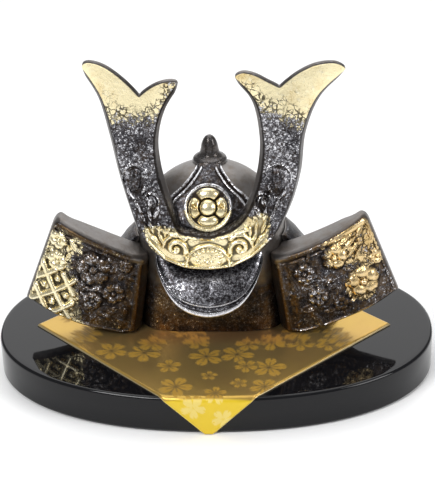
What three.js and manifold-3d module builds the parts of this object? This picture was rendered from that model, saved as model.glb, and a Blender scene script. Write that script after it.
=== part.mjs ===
// Kabuto helmet ornament in cast iron, on an oval lacquered display board with a square cloth.
// Millimetres, +Z up, the helmet looks along -Y. The origin is the middle of the board's underside.
import * as THREE from 'three';
import { mergeVertices } from 'three/addons/utils/BufferGeometryUtils.js';
import Module from 'manifold-3d';

const wasm = await Module();
wasm.setup();

// Clearance between pieces that touch
const GAP = 0.3;

// Display board, a superellipse in plan
const BOARD_LENGTH = 210;
const BOARD_DEPTH = 135;
const BOARD_THICKNESS = 18;
const BOARD_SQUARENESS = 2.19;
const BOARD_EDGE_RADIUS = 1.6;

// Display cloth, laid cornerwise
const CLOTH_SIDE = 121.5;
const CLOTH_THICKNESS = 1;
const CLOTH_CENTRE_X = -1.2;
const CLOTH_CENTRE_Y = -1.8;

// Helmet position and bowl
const HELMET_X = -1.5;
const BOWL_AXIS_Y = 12;
const BOWL_WIDTH = 72;
const BOWL_FRONT = 30.5;
const BOWL_BACK = 31;
const BOWL_HEIGHT = 79.5;
const BOWL_WALL = 4;

// Finial
const FINIAL_HEIGHT = 12.4;
const FINIAL_COLLAR_DIAMETER = 16.5;
const FINIAL_OFFSET_Y = 4;

// Gable plate on the bowl's front
const PLATE_WIDTH = 37;
const PLATE_HEIGHT = 30;
const PLATE_THICKNESS = 2.6;
const PLATE_CROWN = 3;
const PLATE_RIM = 0.8;
const PLATE_TOP_BELOW_APEX = 0.8;

// Medallion and its blossom
const MEDALLION_DIAMETER = 22.6;
const MEDALLION_THICKNESS = 2.4;
const MEDALLION_TILT = THREE.MathUtils.degToRad(30);
const MEDALLION_UP_PLATE = 19.74;
const BLOSSOM_DIAMETER = 18;
const BLOSSOM_HEIGHT = 2.4;
const BLOSSOM_PETALS = 4;

// Crest
const CREST_HEIGHT = 95;
const CREST_HALF_SPAN = 58;
const CREST_FOOT_BELOW_APEX = 37;
const CREST_FRONT = 38;
const CREST_THICKNESS = 7.8;
const CREST_TIP_THICKNESS = 4.2;
const CREST_DRAFT = 2.1;
const CREST_PLAN_RADIUS = 280;
const CREST_LEAN = 0.1;

// Peak
const PEAK_HALF_WIDTH = 25;
const PEAK_REACH = 13;
const PEAK_DROP = 17.5;
const PEAK_THICKNESS = 3;
const PEAK_BULGE = 2.2;

// Side flaps
const FLAP_REACH = 89.5;
const FLAP_HEIGHT = 63.5;
const FLAP_DEPTH = 12;
const FLAP_BOTTOM_DEPTH = 0.75;
const FLAP_FRONT = 25;

// Neck guard
const GUARD_TOP = 46;
const GUARD_END = 1.7;
const GUARD_FLARE = 21;
const GUARD_WALL = 3.2;
const GUARD_LAMES = 4;
const GUARD_STEP = 1.5;

// Raised ornament
const RELIEF_SINK = 0.8;
const CREST_RELIEF = 1.3;
const FLAP_RELIEF = 1.8;

const CLOTH_UNDERSIDE = BOARD_THICKNESS + GAP;
const CLOTH_BEND_RADIUS = BOARD_EDGE_RADIUS + GAP;
const HELMET_BASE = CLOTH_UNDERSIDE + CLOTH_THICKNESS + GAP;
const CREST_BASE = HELMET_BASE + BOWL_HEIGHT - CREST_FOOT_BELOW_APEX;

const lerp = THREE.MathUtils.lerp;

// Each row of a table becomes an object with the columns' names
function table(columns, rows) {
  return rows.map((row) => Object.fromEntries(columns.map((name, i) => [name, row[i]])));
}

// Value of a column at a key, with a smooth monotone curve between the rows
function column(rows, key, name, at) {
  const last = rows.length - 1;
  const k = THREE.MathUtils.clamp(rows.findIndex((row) => row[key] > at) - 1, 0, last - 1);
  const i = at >= rows[last][key] ? last - 1 : k;
  const slope = (a, b) => (rows[b][name] - rows[a][name]) / (rows[b][key] - rows[a][key]);
  const tangent = (n) => {
    if (n === 0) return slope(0, 1);
    if (n === last) return slope(last - 1, last);
    const before = slope(n - 1, n);
    const after = slope(n, n + 1);
    return before * after <= 0 ? 0 : (2 * before * after) / (before + after);
  };
  const span = rows[i + 1][key] - rows[i][key];
  const t = THREE.MathUtils.clamp((at - rows[i][key]) / span, 0, 1);
  const u = 1 - t;
  return (1 + 2 * t) * u * u * rows[i][name] + t * u * u * span * tangent(i)
    + t * t * (3 - 2 * t) * rows[i + 1][name] - t * t * u * span * tangent(i + 1);
}

// Smooth curve through points that are evenly numbered
function spline(points, at) {
  const last = points.length - 1;
  const i = Math.min(Math.floor(at), last - 1);
  const t = at - i;
  const p = [i - 1, i, i + 1, i + 2].map((n) => points[THREE.MathUtils.clamp(n, 0, last)]);
  return p[1].map((value, k) => 0.5 * (2 * value + (p[2][k] - p[0][k]) * t
    + (2 * p[0][k] - 5 * value + 4 * p[2][k] - p[3][k]) * t * t
    + (3 * value - p[0][k] - 3 * p[2][k] + p[3][k]) * t * t * t));
}

// Closed solids from loose faces

function solid(triangles) {
  const loose = new THREE.BufferGeometry();
  loose.setAttribute('position', new THREE.Float32BufferAttribute(triangles.flat(2), 3));
  return manifold(loose);
}

function manifold(geometry) {
  const bare = geometry.clone();
  bare.deleteAttribute('normal');
  bare.deleteAttribute('uv');
  const merged = mergeVertices(bare, 1e-4);
  const position = merged.getAttribute('position').array;
  const index = [];
  for (let i = 0; i < merged.index.count; i += 3) {
    const [a, b, c] = [0, 1, 2].map((k) => merged.index.getX(i + k));
    if (a !== b && b !== c && c !== a) index.push(a, b, c);
  }
  const corner = (n) => new THREE.Vector3(...position.slice(3 * n, 3 * n + 3));
  let volume = 0;
  for (let i = 0; i < index.length; i += 3) {
    volume += corner(index[i]).dot(corner(index[i + 1]).cross(corner(index[i + 2])));
  }
  if (volume < 0) index.reverse();
  return new wasm.Manifold(new wasm.Mesh({
    numProp: 3, vertProperties: Float32Array.from(position), triVerts: Uint32Array.from(index),
  }));
}

function geometry(body) {
  const mesh = body.getMesh();
  const result = new THREE.BufferGeometry();
  result.setAttribute('position', new THREE.Float32BufferAttribute(mesh.vertProperties, 3));
  result.setIndex([...mesh.triVerts]);
  return result;
}

const quad = (a, b, c, d) => [[a, b, c], [a, c, d]];

// Solid between two grids of points, front[i][j] and back[i][j]
function slab(front, back) {
  const faces = [];
  const rows = front.length - 1;
  const columns = front[0].length - 1;
  for (let i = 0; i < rows; i += 1) {
    for (let j = 0; j < columns; j += 1) {
      faces.push(...quad(front[i][j], front[i + 1][j], front[i + 1][j + 1], front[i][j + 1]));
      faces.push(...quad(back[i][j], back[i][j + 1], back[i + 1][j + 1], back[i + 1][j]));
    }
    faces.push(...quad(front[i][0], back[i][0], back[i + 1][0], front[i + 1][0]));
    faces.push(...quad(front[i][columns], front[i + 1][columns], back[i + 1][columns], back[i][columns]));
  }
  for (let j = 0; j < columns; j += 1) {
    faces.push(...quad(front[0][j], front[0][j + 1], back[0][j + 1], back[0][j]));
    faces.push(...quad(front[rows][j], back[rows][j], back[rows][j + 1], front[rows][j + 1]));
  }
  return solid(faces);
}

// Solid through closed rings, each end drawn in to one point
function rings(loops, start, end) {
  const faces = [];
  const count = loops[0].length;
  const next = (j) => (j + 1) % count;
  for (let j = 0; j < count; j += 1) {
    for (let i = 0; i + 1 < loops.length; i += 1) {
      faces.push(...quad(loops[i][j], loops[i][next(j)], loops[i + 1][next(j)], loops[i + 1][j]));
    }
    faces.push([start, loops[0][next(j)], loops[0][j]]);
    faces.push([end, loops[loops.length - 1][j], loops[loops.length - 1][next(j)]]);
  }
  return solid(faces);
}

const join = (bodies) => bodies.reduce((whole, body) => whole.add(body));

// Raised ornament stands on a surface given as a function of x, z and the rise above it

function boss(surface, x, z, length, width, turn, height, sides = 6) {
  const loop = (share, rise) => Array.from({ length: sides }, (_, k) => {
    const angle = (2 * Math.PI * k) / sides;
    const along = 0.5 * length * share * Math.cos(angle);
    const across = 0.5 * width * share * Math.sin(angle);
    const px = x + along * Math.cos(turn) - across * Math.sin(turn);
    const pz = z + along * Math.sin(turn) + across * Math.cos(turn);
    return surface(px, pz, rise);
  });
  return rings([loop(1, -RELIEF_SINK), loop(0.62, 0.85 * height)],
    surface(x, z, -RELIEF_SINK), surface(x, z, height));
}

// Five-petalled blossom with a bead in the middle
function blossom(surface, x, z, radius, turn, height) {
  const outline = [0.6, 0.97, 0.97];
  const count = 5 * outline.length;
  const loop = (share, rise) => Array.from({ length: count }, (_, k) => {
    const angle = turn + (2 * Math.PI * k) / count;
    const r = radius * share * outline[k % outline.length];
    return surface(x + r * Math.cos(angle), z + r * Math.sin(angle), rise);
  });
  const petals = rings([loop(1, -RELIEF_SINK), loop(0.72, 0.75 * height)],
    surface(x, z, -RELIEF_SINK), surface(x, z, 0.3 * height));
  return petals.add(boss(surface, x, z, 0.5 * radius, 0.5 * radius, turn, height, 5));
}

function ridge(surface, path, width, height) {
  const loops = path.map((p, n) => {
    const before = path[Math.max(n - 1, 0)];
    const after = path[Math.min(n + 1, path.length - 1)];
    const length = Math.hypot(after[0] - before[0], after[1] - before[1]);
    const side = [-(after[1] - before[1]) / length, (after[0] - before[0]) / length];
    const corner = (offset, rise) => (
      surface(p[0] + side[0] * offset * width, p[1] + side[1] * offset * width, rise));
    return [corner(-0.5, -RELIEF_SINK), corner(0, height), corner(0.5, -RELIEF_SINK)];
  });
  const middle = (loop) => [0, 1, 2].map((k) => loop.reduce((sum, p) => sum + p[k], 0) / loop.length);
  return rings(loops, middle(loops[0]), middle(loops[loops.length - 1]));
}

const arc = (cx, cz, radius, from, to, steps, grow = 0) => Array.from({ length: steps + 1 }, (_, k) => {
  const angle = THREE.MathUtils.degToRad(lerp(from, to, k / steps));
  const r = radius * (1 + (grow * k) / steps);
  return [cx + r * Math.cos(angle), cz + r * Math.sin(angle)];
});

// Board

const boardHalfDepth = (x) => 0.5 * BOARD_DEPTH
  * (1 - Math.abs((2 * x) / BOARD_LENGTH) ** BOARD_SQUARENESS) ** (1 / BOARD_SQUARENESS);

function superellipse(halfX, halfFront, halfBack, squareness, count, place) {
  return Array.from({ length: count }, (_, k) => {
    const angle = (2 * Math.PI * k) / count;
    const c = Math.cos(angle);
    const s = Math.sin(angle);
    const x = halfX * Math.sign(c) * Math.abs(c) ** (2 / squareness);
    const y = (s < 0 ? halfFront : halfBack) * Math.sign(s) * Math.abs(s) ** (2 / squareness);
    return place(x, y);
  });
}

function displayBoard() {
  const r = BOARD_EDGE_RADIUS;
  const levels = table(['inset', 'height'], [
    [r, 0], [0.3 * r, 0.3 * r], [0, r],
    [0, BOARD_THICKNESS - r], [0.3 * r, BOARD_THICKNESS - 0.3 * r], [r, BOARD_THICKNESS],
  ]);
  const loops = levels.map(({ inset, height }) => superellipse(
    0.5 * BOARD_LENGTH - inset, 0.5 * BOARD_DEPTH - inset, 0.5 * BOARD_DEPTH - inset,
    BOARD_SQUARENESS, 48, (x, y) => [x, y, height]));
  return rings(loops, [0, 0, 0], [0, 0, BOARD_THICKNESS]);
}

// Cloth, laid flat and bent down over the board's front and back edges

function clothPoint(x, along, lift) {
  const edge = boardHalfDepth(x) + GAP - CLOTH_BEND_RADIUS;
  const side = Math.sign(along);
  const past = Math.abs(along) - edge;
  const top = CLOTH_UNDERSIDE;
  if (past <= 0) return [x, along, top + lift];
  const r = CLOTH_BEND_RADIUS;
  const turn = Math.min(past / r, 0.5 * Math.PI);
  const down = Math.max(past - 0.5 * Math.PI * r, 0);
  const y = side * (edge + (r + lift) * Math.sin(turn));
  return [x, y, top - r + (r + lift) * Math.cos(turn) - down];
}

function displayCloth() {
  const reach = CLOTH_SIDE / Math.SQRT2;
  const hang = boardHalfDepth(CLOTH_CENTRE_X) + GAP + 0.5707 * CLOTH_BEND_RADIUS + CLOTH_UNDERSIDE
    - CLOTH_BEND_RADIUS - GAP;
  const front = Math.max(CLOTH_CENTRE_Y - reach, -hang);
  const back = Math.min(CLOTH_CENTRE_Y + reach - 0.4, hang);
  const edge = boardHalfDepth(CLOTH_CENTRE_X) + GAP - CLOTH_BEND_RADIUS;
  const bend = [0, 0.52, 1.05, 1.5708].map((angle) => edge + angle * CLOTH_BEND_RADIUS);
  const flat = [-0.66, -0.33, 0.33, 0.66].map((share) => share * edge);
  const stops = [front, ...bend.map((b) => -b).reverse(), ...flat, CLOTH_CENTRE_Y, ...bend, back]
    .sort((a, b) => a - b);
  const columns = 8;
  const sheet = (lift) => stops.map((along) => {
    const half = reach - Math.abs(along - CLOTH_CENTRE_Y);
    return Array.from({ length: columns + 1 }, (_, j) => (
      clothPoint(CLOTH_CENTRE_X + half * ((2 * j) / columns - 1), along, lift)));
  });
  return slab(sheet(CLOTH_THICKNESS), sheet(0));
}

// Bowl: rings at shares of the height, with shares of the half width, front and back reach

const BOWL_PROFILE = table(['height', 'width', 'front', 'back', 'squareness'], [
  [0.00, 0.97, 0.72, 0.97, 4.0],
  [0.15, 0.955, 0.72, 0.97, 3.8],
  [0.32, 0.95, 0.76, 0.98, 3.2],
  [0.45, 0.97, 0.92, 1.00, 2.5],
  [0.55, 0.98, 1.00, 1.00, 2.2],
  [0.65, 0.955, 0.985, 0.97, 2.1],
  [0.75, 0.88, 0.90, 0.89, 2.0],
  [0.84, 0.75, 0.76, 0.76, 2.0],
  [0.91, 0.585, 0.60, 0.60, 2.0],
  [0.96, 0.40, 0.41, 0.41, 2.0],
  [0.99, 0.20, 0.20, 0.20, 2.0],
  [1.00, 0.00, 0.00, 0.00, 2.0],
]);

const bowlShare = (z) => THREE.MathUtils.clamp((z - HELMET_BASE) / BOWL_HEIGHT, 0, 1);
const bowlAt = (name, z) => column(BOWL_PROFILE, 'height', name, bowlShare(z));
const bowlHalfWidth = (z) => 0.5 * BOWL_WIDTH * bowlAt('width', z);

// Front surface of the bowl, and how far it lies back beside the widest point
function bowlFront(x, z) {
  const squareness = bowlAt('squareness', z);
  const across = Math.min(Math.abs(x) / Math.max(bowlHalfWidth(z), 0.01), 1);
  return BOWL_AXIS_Y - BOWL_FRONT * bowlAt('front', z) * (1 - across ** squareness) ** (1 / squareness);
}

// Point of the bowl's surface in front of (x, z), moved out by a distance
function bowlOffset(x, z, distance) {
  const step = 0.4;
  const y = bowlFront(x, z);
  const slopeX = (bowlFront(x + step, z) - bowlFront(x - step, z)) / (2 * step);
  const slopeZ = (bowlFront(x, z + step) - bowlFront(x, z - step)) / (2 * step);
  const out = new THREE.Vector3(slopeX, -1, slopeZ).normalize().multiplyScalar(distance);
  return [x + out.x, y + out.y, z + out.z];
}

function bowlRing(share, inset, z, count) {
  const at = (name) => column(BOWL_PROFILE, 'height', name, share);
  return superellipse(
    0.5 * BOWL_WIDTH * at('width') - inset, BOWL_FRONT * at('front') - inset, BOWL_BACK * at('back') - inset,
    at('squareness'), count, (x, y) => [x, BOWL_AXIS_Y + y, z]);
}

const BOWL_SIDES = 28;

function bowl() {
  const outer = BOWL_PROFILE.slice(0, -1).map(({ height }) => height);
  const inner = [0, 0.32, 0.45, 0.6, 0.75, 0.84, 0.91];
  const loops = [
    ...inner.map((share) => (
      bowlRing(share, BOWL_WALL, HELMET_BASE + share * (BOWL_HEIGHT - BOWL_WALL), BOWL_SIDES))).reverse(),
    ...outer.map((share) => bowlRing(share, 0, HELMET_BASE + share * BOWL_HEIGHT, BOWL_SIDES)),
  ];
  const apex = HELMET_BASE + BOWL_HEIGHT;
  return rings(loops, [0, BOWL_AXIS_Y, apex - BOWL_WALL], [0, BOWL_AXIS_Y, apex]);
}

// The bowl's whole outer form grown by the gap, which cuts the seats of the pieces on it
function bowlSeat() {
  const lift = (share) => HELMET_BASE + share * BOWL_HEIGHT + GAP * share;
  const loops = BOWL_PROFILE.slice(0, -1).map(({ height }) => bowlRing(height, -GAP, lift(height), BOWL_SIDES));
  loops.unshift(bowlRing(0, -GAP, 0, BOWL_SIDES));
  return rings(loops, [0, BOWL_AXIS_Y, 0], [0, BOWL_AXIS_Y, lift(1)]);
}

// Finial, a bell-shaped knob on a round collar that sits over the bowl's apex

const FINIAL_PROFILE = table(['radius', 'height'], [
  [0, -0.4], [0.96, -0.4], [1, -0.08], [0.94, 0.08], [0.72, 0.19],
  [0.6, 0.27], [0.52, 0.42], [0.45, 0.66], [0.31, 0.87], [0.14, 0.975], [0, 1],
]);

function finial() {
  const points = FINIAL_PROFILE.map(({ radius, height }) => (
    new THREE.Vector2(0.5 * FINIAL_COLLAR_DIAMETER * radius, height * FINIAL_HEIGHT)));
  const lathe = new THREE.LatheGeometry(points, 20);
  lathe.rotateX(0.5 * Math.PI);
  lathe.translate(0, BOWL_AXIS_Y + FINIAL_OFFSET_Y, HELMET_BASE + BOWL_HEIGHT);
  return manifold(lathe).subtract(bowlSeat());
}

// Gable plate on the dome, flatter than the dome: its half width at shares of its height

const PLATE_PROFILE = table(['height', 'width'], [
  [0, 0.62], [0.3, 0.78], [0.5, 1], [0.6, 0.93], [0.8, 0.6], [1, 0.27],
]);
const plateTop = HELMET_BASE + BOWL_HEIGHT - PLATE_TOP_BELOW_APEX;
const plateBase = plateTop - PLATE_HEIGHT;
const plateHalfWidth = (share) => 0.5 * PLATE_WIDTH * column(PLATE_PROFILE, 'height', 'width', share);
const plateSurface = (x, z, rise) => (
  bowlOffset(x, z, GAP + PLATE_THICKNESS + PLATE_CROWN * ((2 * x) / PLATE_WIDTH) ** 2 + rise));

// The plate without its rims, or grown by a distance on every side to cut the seats of its neighbours
function plateBody(grow) {
  const rows = [0, 0.17, 0.34, 0.5, 0.6, 0.7, 0.8, 0.88, 0.95, 1];
  const across = [-1, -0.66, -0.33, 0, 0.33, 0.66, 1];
  const behind = grow > 0 ? -BOWL_WALL : 2 * GAP;
  const sheet = (front) => rows.map((share) => across.map((side) => {
    const x = side * (plateHalfWidth(share) + grow);
    const z = plateBase + share * PLATE_HEIGHT - (share === 0 ? 2 * grow : 0);
    return front ? plateSurface(x, z, grow) : bowlOffset(x, z, behind);
  }));
  return slab(sheet(true), sheet(false));
}

function frontPlate() {
  const rim = (inset) => [-1, 1].map((side) => {
    const path = [0.28, 0.4, 0.5, 0.6, 0.75, 0.88, 0.97].map((share) => (
      [side * (plateHalfWidth(share) - inset), plateBase + share * PLATE_HEIGHT]));
    return ridge(plateSurface, path, 1.5, PLATE_RIM);
  });
  return join([plateBody(0), ...rim(1), ...rim(3.2)]);
}

// Medallion: a disc with a raised ring, tilted back with the plate

const medallionRadius = 0.5 * MEDALLION_DIAMETER;
const medallionHeight = plateBase + MEDALLION_UP_PLATE;
const medallionFace = plateSurface(0, medallionHeight, MEDALLION_THICKNESS);

function placeOnMedallion(shape) {
  const matrix = new THREE.Matrix4().makeRotationX(Math.PI - MEDALLION_TILT);
  matrix.setPosition(0, medallionFace[1], medallionHeight);
  return shape.applyMatrix4(matrix);
}

function medallionDisc(profile) {
  const points = profile.map(([radius, height]) => new THREE.Vector2(radius, height));
  return manifold(placeOnMedallion(new THREE.LatheGeometry(points, 32)));
}

function medallion() {
  const r = medallionRadius;
  const h = MEDALLION_THICKNESS;
  const deep = 1.7 * h;
  const ring = [[0, -deep], [r, -deep], [r, 0.1 * h], [0.96 * r, 0.45 * h], [0.88 * r, 0.45 * h],
    [0.83 * r, 0.05 * h], [0, 0.05 * h]];
  return medallionDisc(ring).subtract(plateBody(GAP)).subtract(bowlSeat());
}

function medallionSeat() {
  const r = medallionRadius + GAP;
  return medallionDisc([[0, -4 * r], [r, -4 * r], [r, MEDALLION_THICKNESS], [0, MEDALLION_THICKNESS]]);
}

function medallionFlower() {
  const lift = 0.05 * MEDALLION_THICKNESS + GAP;
  const radius = 0.5 * BLOSSOM_DIAMETER;
  const bump = (x, y, rx, ry, height) => {
    const lump = new THREE.SphereGeometry(1, 8, 6);
    lump.rotateX(0.5 * Math.PI);
    lump.scale(rx, height, ry);
    lump.translate(x, lift, y);
    return manifold(lump);
  };
  const bumps = [bump(0, 0, 0.36 * radius, 0.36 * radius, BLOSSOM_HEIGHT)];
  for (let k = 0; k < BLOSSOM_PETALS; k += 1) {
    const angle = (2 * Math.PI * k) / BLOSSOM_PETALS;
    for (const lobe of [-0.26, 0.26]) {
      const x = 0.64 * radius * Math.sin(angle + lobe);
      const y = 0.64 * radius * Math.cos(angle + lobe);
      bumps.push(bump(x, y, 0.35 * radius, 0.35 * radius, 0.62 * BLOSSOM_HEIGHT));
    }
  }
  const box = new THREE.BoxGeometry(3 * radius, 2 * BLOSSOM_HEIGHT, 3 * radius);
  box.translate(0, lift + BLOSSOM_HEIGHT, 0);
  const flower = geometry(join(bumps).intersect(manifold(box)));
  return manifold(placeOnMedallion(flower));
}

// Crest: outer and inner edges of each side, as shares of the half span and the height

const CREST_COLUMNS = ['outerX', 'outerZ', 'innerX', 'innerZ'];
const CREST_LEFT = table(CREST_COLUMNS, [
  [0.00, 0.000, 0.000, 0.156],
  [0.205, 0.012, 0.12, 0.166],
  [0.385, 0.065, 0.23, 0.186],
  [0.515, 0.157, 0.285, 0.262],
  [0.595, 0.304, 0.348, 0.378],
  [0.665, 0.473, 0.395, 0.505],
  [0.72, 0.662, 0.403, 0.652],
  [0.793, 0.846, 0.338, 0.804],
  [0.945, 0.997, 0.197, 0.937],
]);
const CREST_RIGHT = table(CREST_COLUMNS, [
  [0.00, 0.000, 0.000, 0.156],
  [0.205, 0.020, 0.12, 0.174],
  [0.385, 0.072, 0.235, 0.208],
  [0.525, 0.173, 0.32, 0.272],
  [0.632, 0.308, 0.393, 0.378],
  [0.703, 0.467, 0.44, 0.505],
  [0.738, 0.662, 0.45, 0.657],
  [0.853, 0.841, 0.393, 0.836],
  [1.085, 0.969, 0.226, 0.96],
]);

// Swallow tail of each head, from the outer tip over the notch to the inner tip
const TAIL_COLUMNS = ['along', 'x', 'z'];
const TAIL_LEFT = table(TAIL_COLUMNS, [
  [0.00, 0.945, 0.997], [0.12, 0.885, 1.014], [0.25, 0.76, 0.995], [0.38, 0.622, 0.936],
  [0.50, 0.502, 0.861],
  [0.62, 0.422, 0.9], [0.75, 0.345, 0.925], [0.88, 0.265, 0.937], [1.00, 0.197, 0.937],
]);
const TAIL_RIGHT = table(TAIL_COLUMNS, [
  [0.00, 1.085, 0.969], [0.12, 0.985, 0.997], [0.25, 0.84, 0.993], [0.38, 0.7, 0.956],
  [0.50, 0.571, 0.897],
  [0.62, 0.475, 0.93], [0.75, 0.38, 0.962], [0.88, 0.29, 0.974], [1.00, 0.226, 0.96],
]);

const crestSurface = (x, z, rise) => [x, crestFront(x, z) - rise, z];
const crestFront = (x, z) => BOWL_AXIS_Y - CREST_FRONT + (x * x) / (2 * CREST_PLAN_RADIUS)
  + CREST_LEAN * (z - CREST_BASE);

// Height of the band's lower edge beside its middle
const crestLower = (x) => CREST_BASE
  + CREST_HEIGHT * column(CREST_LEFT.slice(0, 6), 'outerX', 'outerZ', Math.abs(x) / CREST_HALF_SPAN);

function tailPoint(tail, s) {
  const inner = s > 0.5;
  const arm = tail.filter(({ along }) => (inner ? along >= 0.5 : along <= 0.5));
  const at = ((s - (inner ? 0.5 : 0)) / 0.5) * (arm.length - 1);
  return spline(arm.map(({ x, z }) => [x, z]), at);
}

// Point of the crest's face, in x and z: side -1 or 1, t along the side, s across from outer to inner
function crestPoint(side, t, s) {
  const rows = side < 0 ? CREST_LEFT : CREST_RIGHT;
  const tail = side < 0 ? TAIL_LEFT : TAIL_RIGHT;
  const last = rows.length - 1;
  const mirror = rows.slice(1, 2).map((row) => [-row.outerX, row.outerZ, -row.innerX, row.innerZ]);
  const edges = [...mirror, ...rows.map((row) => [row.outerX, row.outerZ, row.innerX, row.innerZ])];
  const [outerX, outerZ, innerX, innerZ] = spline(edges, 1 + t * last);
  const start = 0.55;
  const weight = t > start ? ((t - start) / (1 - start)) ** 1.6 : 0;
  const inside = THREE.MathUtils.clamp(s, 0, 1);
  const [tailX, tailZ] = tailPoint(tail, inside);
  const end = rows[last];
  const x = lerp(outerX, innerX, s) + weight * (tailX - lerp(end.outerX, end.innerX, inside));
  const z = lerp(outerZ, innerZ, s) + weight * (tailZ - lerp(end.outerZ, end.innerZ, inside));
  return [side * x * CREST_HALF_SPAN, CREST_BASE + z * CREST_HEIGHT];
}

function crest() {
  const across = table(['share', 'offset', 'rise'], [
    [0, -CREST_DRAFT, 0.14], [0, -0.4, 0.86], [0, 0.7, 1], [0.25, 0, 1], [0.5, 0, 1], [0.75, 0, 1],
    [1, -0.7, 1], [1, 0.4, 0.86], [1, CREST_DRAFT, 0.14],
  ]);
  const along = [0.04, 0.13, 0.2, 0.27, 0.35, 0.44, 0.54, 0.64, 0.73, 0.81, 0.88, 0.94, 0.985, 1];
  const stops = [...along.map((t) => [-1, t]).reverse(), ...along.map((t) => [1, t])];
  const front = [];
  const back = [];
  for (const [side, t] of stops) {
    const outer = crestPoint(side, t, 0);
    const inner = crestPoint(side, t, 1);
    const width = Math.hypot(inner[0] - outer[0], inner[1] - outer[1]);
    const points = across.map(({ share, offset }) => crestPoint(side, t, share + offset / width));
    const thickness = lerp(CREST_THICKNESS, CREST_TIP_THICKNESS, Math.max(0, (t - 0.6) / 0.4));
    const rounding = t === 1 ? 0.7 : 1;
    front.push(points.map(([x, z], n) => (
      [x, crestFront(x, z) + thickness * (1 - rounding * across[n].rise), z])));
    back.push(points.map(([x, z]) => [x, crestFront(x, z) + thickness, z]));
  }
  return join([slab(front, back), ...crestRelief()])
    .subtract(bowlSeat()).subtract(plateBody(3 * GAP + PLATE_RIM)).subtract(medallionSeat());
}

// Raised ornament of the crest, placed by shares of the half span and of the height above the band

function crestRelief() {
  const at = (x, z) => [x * CREST_HALF_SPAN, CREST_BASE + z * CREST_HEIGHT];
  const cast = (x, z, length, width, turn, height = CREST_RELIEF, sides = 4) => (
    boss(crestSurface, ...at(x, z), length, width, THREE.MathUtils.degToRad(turn), height, sides));
  const parts = [];
  const [cx, cz] = at(0, 0.026);
  parts.push(boss(crestSurface, cx, cz + 3.4, 19, 8.6, 0, 1.1, 12));
  parts.push(ridge(crestSurface, arc(cx, cz, 9.4, 0, 180, 10), 1.5, 1.9));
  for (let k = 0; k < 7; k += 1) {
    const [bx, bz] = arc(cx, cz, 6.4, 18 + 24 * k, 0, 1)[0];
    parts.push(boss(crestSurface, bx, bz, 1.9, 1.9, 0, 2, 4));
  }
  for (const side of [-1, 1]) {
    const [sx, sz] = at(side * 0.27, 0.105);
    const turn = (angle) => (side > 0 ? angle : 180 - angle);
    parts.push(ridge(crestSurface, arc(sx, sz, 4.3, turn(150), turn(-190), 11, -0.62), 1.7, 1.7));
    parts.push(boss(crestSurface, sx, sz, 2.2, 2.2, 0, 1.7, 6));
    const leaves = table(['x', 'z', 'length', 'width', 'turn'], [
      [0.36, 0.155, 6.5, 2.6, 62], [0.425, 0.16, 7, 2.6, 48], [0.47, 0.2, 7, 2.4, 66],
      [0.395, 0.245, 6.5, 2.3, 100],
      [0.43, 0.335, 6, 2.2, 128], [0.5, 0.33, 6, 2.4, 60], [0.47, 0.41, 7.5, 3, 96],
      [0.59, 0.42, 5, 2, 75],
    ]);
    for (const leaf of leaves) {
      parts.push(cast(side * leaf.x, leaf.z, leaf.length, leaf.width, turn(leaf.turn)));
    }
    parts.push(cast(side * 0.53, 0.52, 8.6, 4.2, turn(97), 1.7, 8));
    const [ax, az] = at(side * 0.525, 0.53);
    parts.push(ridge(crestSurface, arc(ax, az, 5.2, turn(35), turn(140), 6), 1, 1));
  }
  return parts;
}

// Peak: from the bowl's brow down and forward to a rounded rim, with two raised edges

function peak() {
  const steps = table(['along', 'rise'], [
    [0, 0], [0.3, 0], [0.6, 0], [0.76, 0], [0.8, 0.9], [0.86, 0.1], [0.91, 0.1], [0.95, 1], [1, 0.8],
  ]);
  const sweep = 82;
  const count = 16;
  const rows = steps.map(({ along, rise }) => Array.from({ length: count + 1 }, (_, k) => {
    const angle = THREE.MathUtils.degToRad(lerp(-sweep, sweep, k / count));
    const browX = 0.96 * PEAK_HALF_WIDTH * Math.sin(angle);
    const browZ = crestLower(browX) - CREST_DRAFT - 2 * GAP;
    const brow = [browX, bowlFront(browX, browZ) - GAP, browZ];
    const rimX = PEAK_HALF_WIDTH * Math.sin(angle);
    const rimZ = browZ - 1.5 - PEAK_DROP * Math.cos(angle) ** 1.15;
    const rimY = bowlFront(rimX, browZ) - 2.5 - PEAK_REACH * Math.cos(angle) ** 1.2;
    const bulge = PEAK_BULGE * Math.sin(Math.PI * along) * Math.cos(angle);
    const out = [0.2 * Math.sin(angle), -0.78, 0.58];
    const point = [lerp(brow[0], rimX, along), lerp(brow[1], rimY, along), lerp(brow[2], rimZ, along)];
    return {
      front: point.map((v, n) => v + out[n] * (bulge + rise)),
      back: point.map((v, n) => v + out[n] * (bulge - PEAK_THICKNESS)),
    };
  }));
  const face = rows.map((row) => row.map(({ front }) => front));
  const underside = rows.map((row) => row.map(({ back }) => back));
  return slab(face, underside).subtract(bowlSeat());
}

// Side flaps: lines from the bottom edge to the top edge, as shares of the reach and the height

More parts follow.
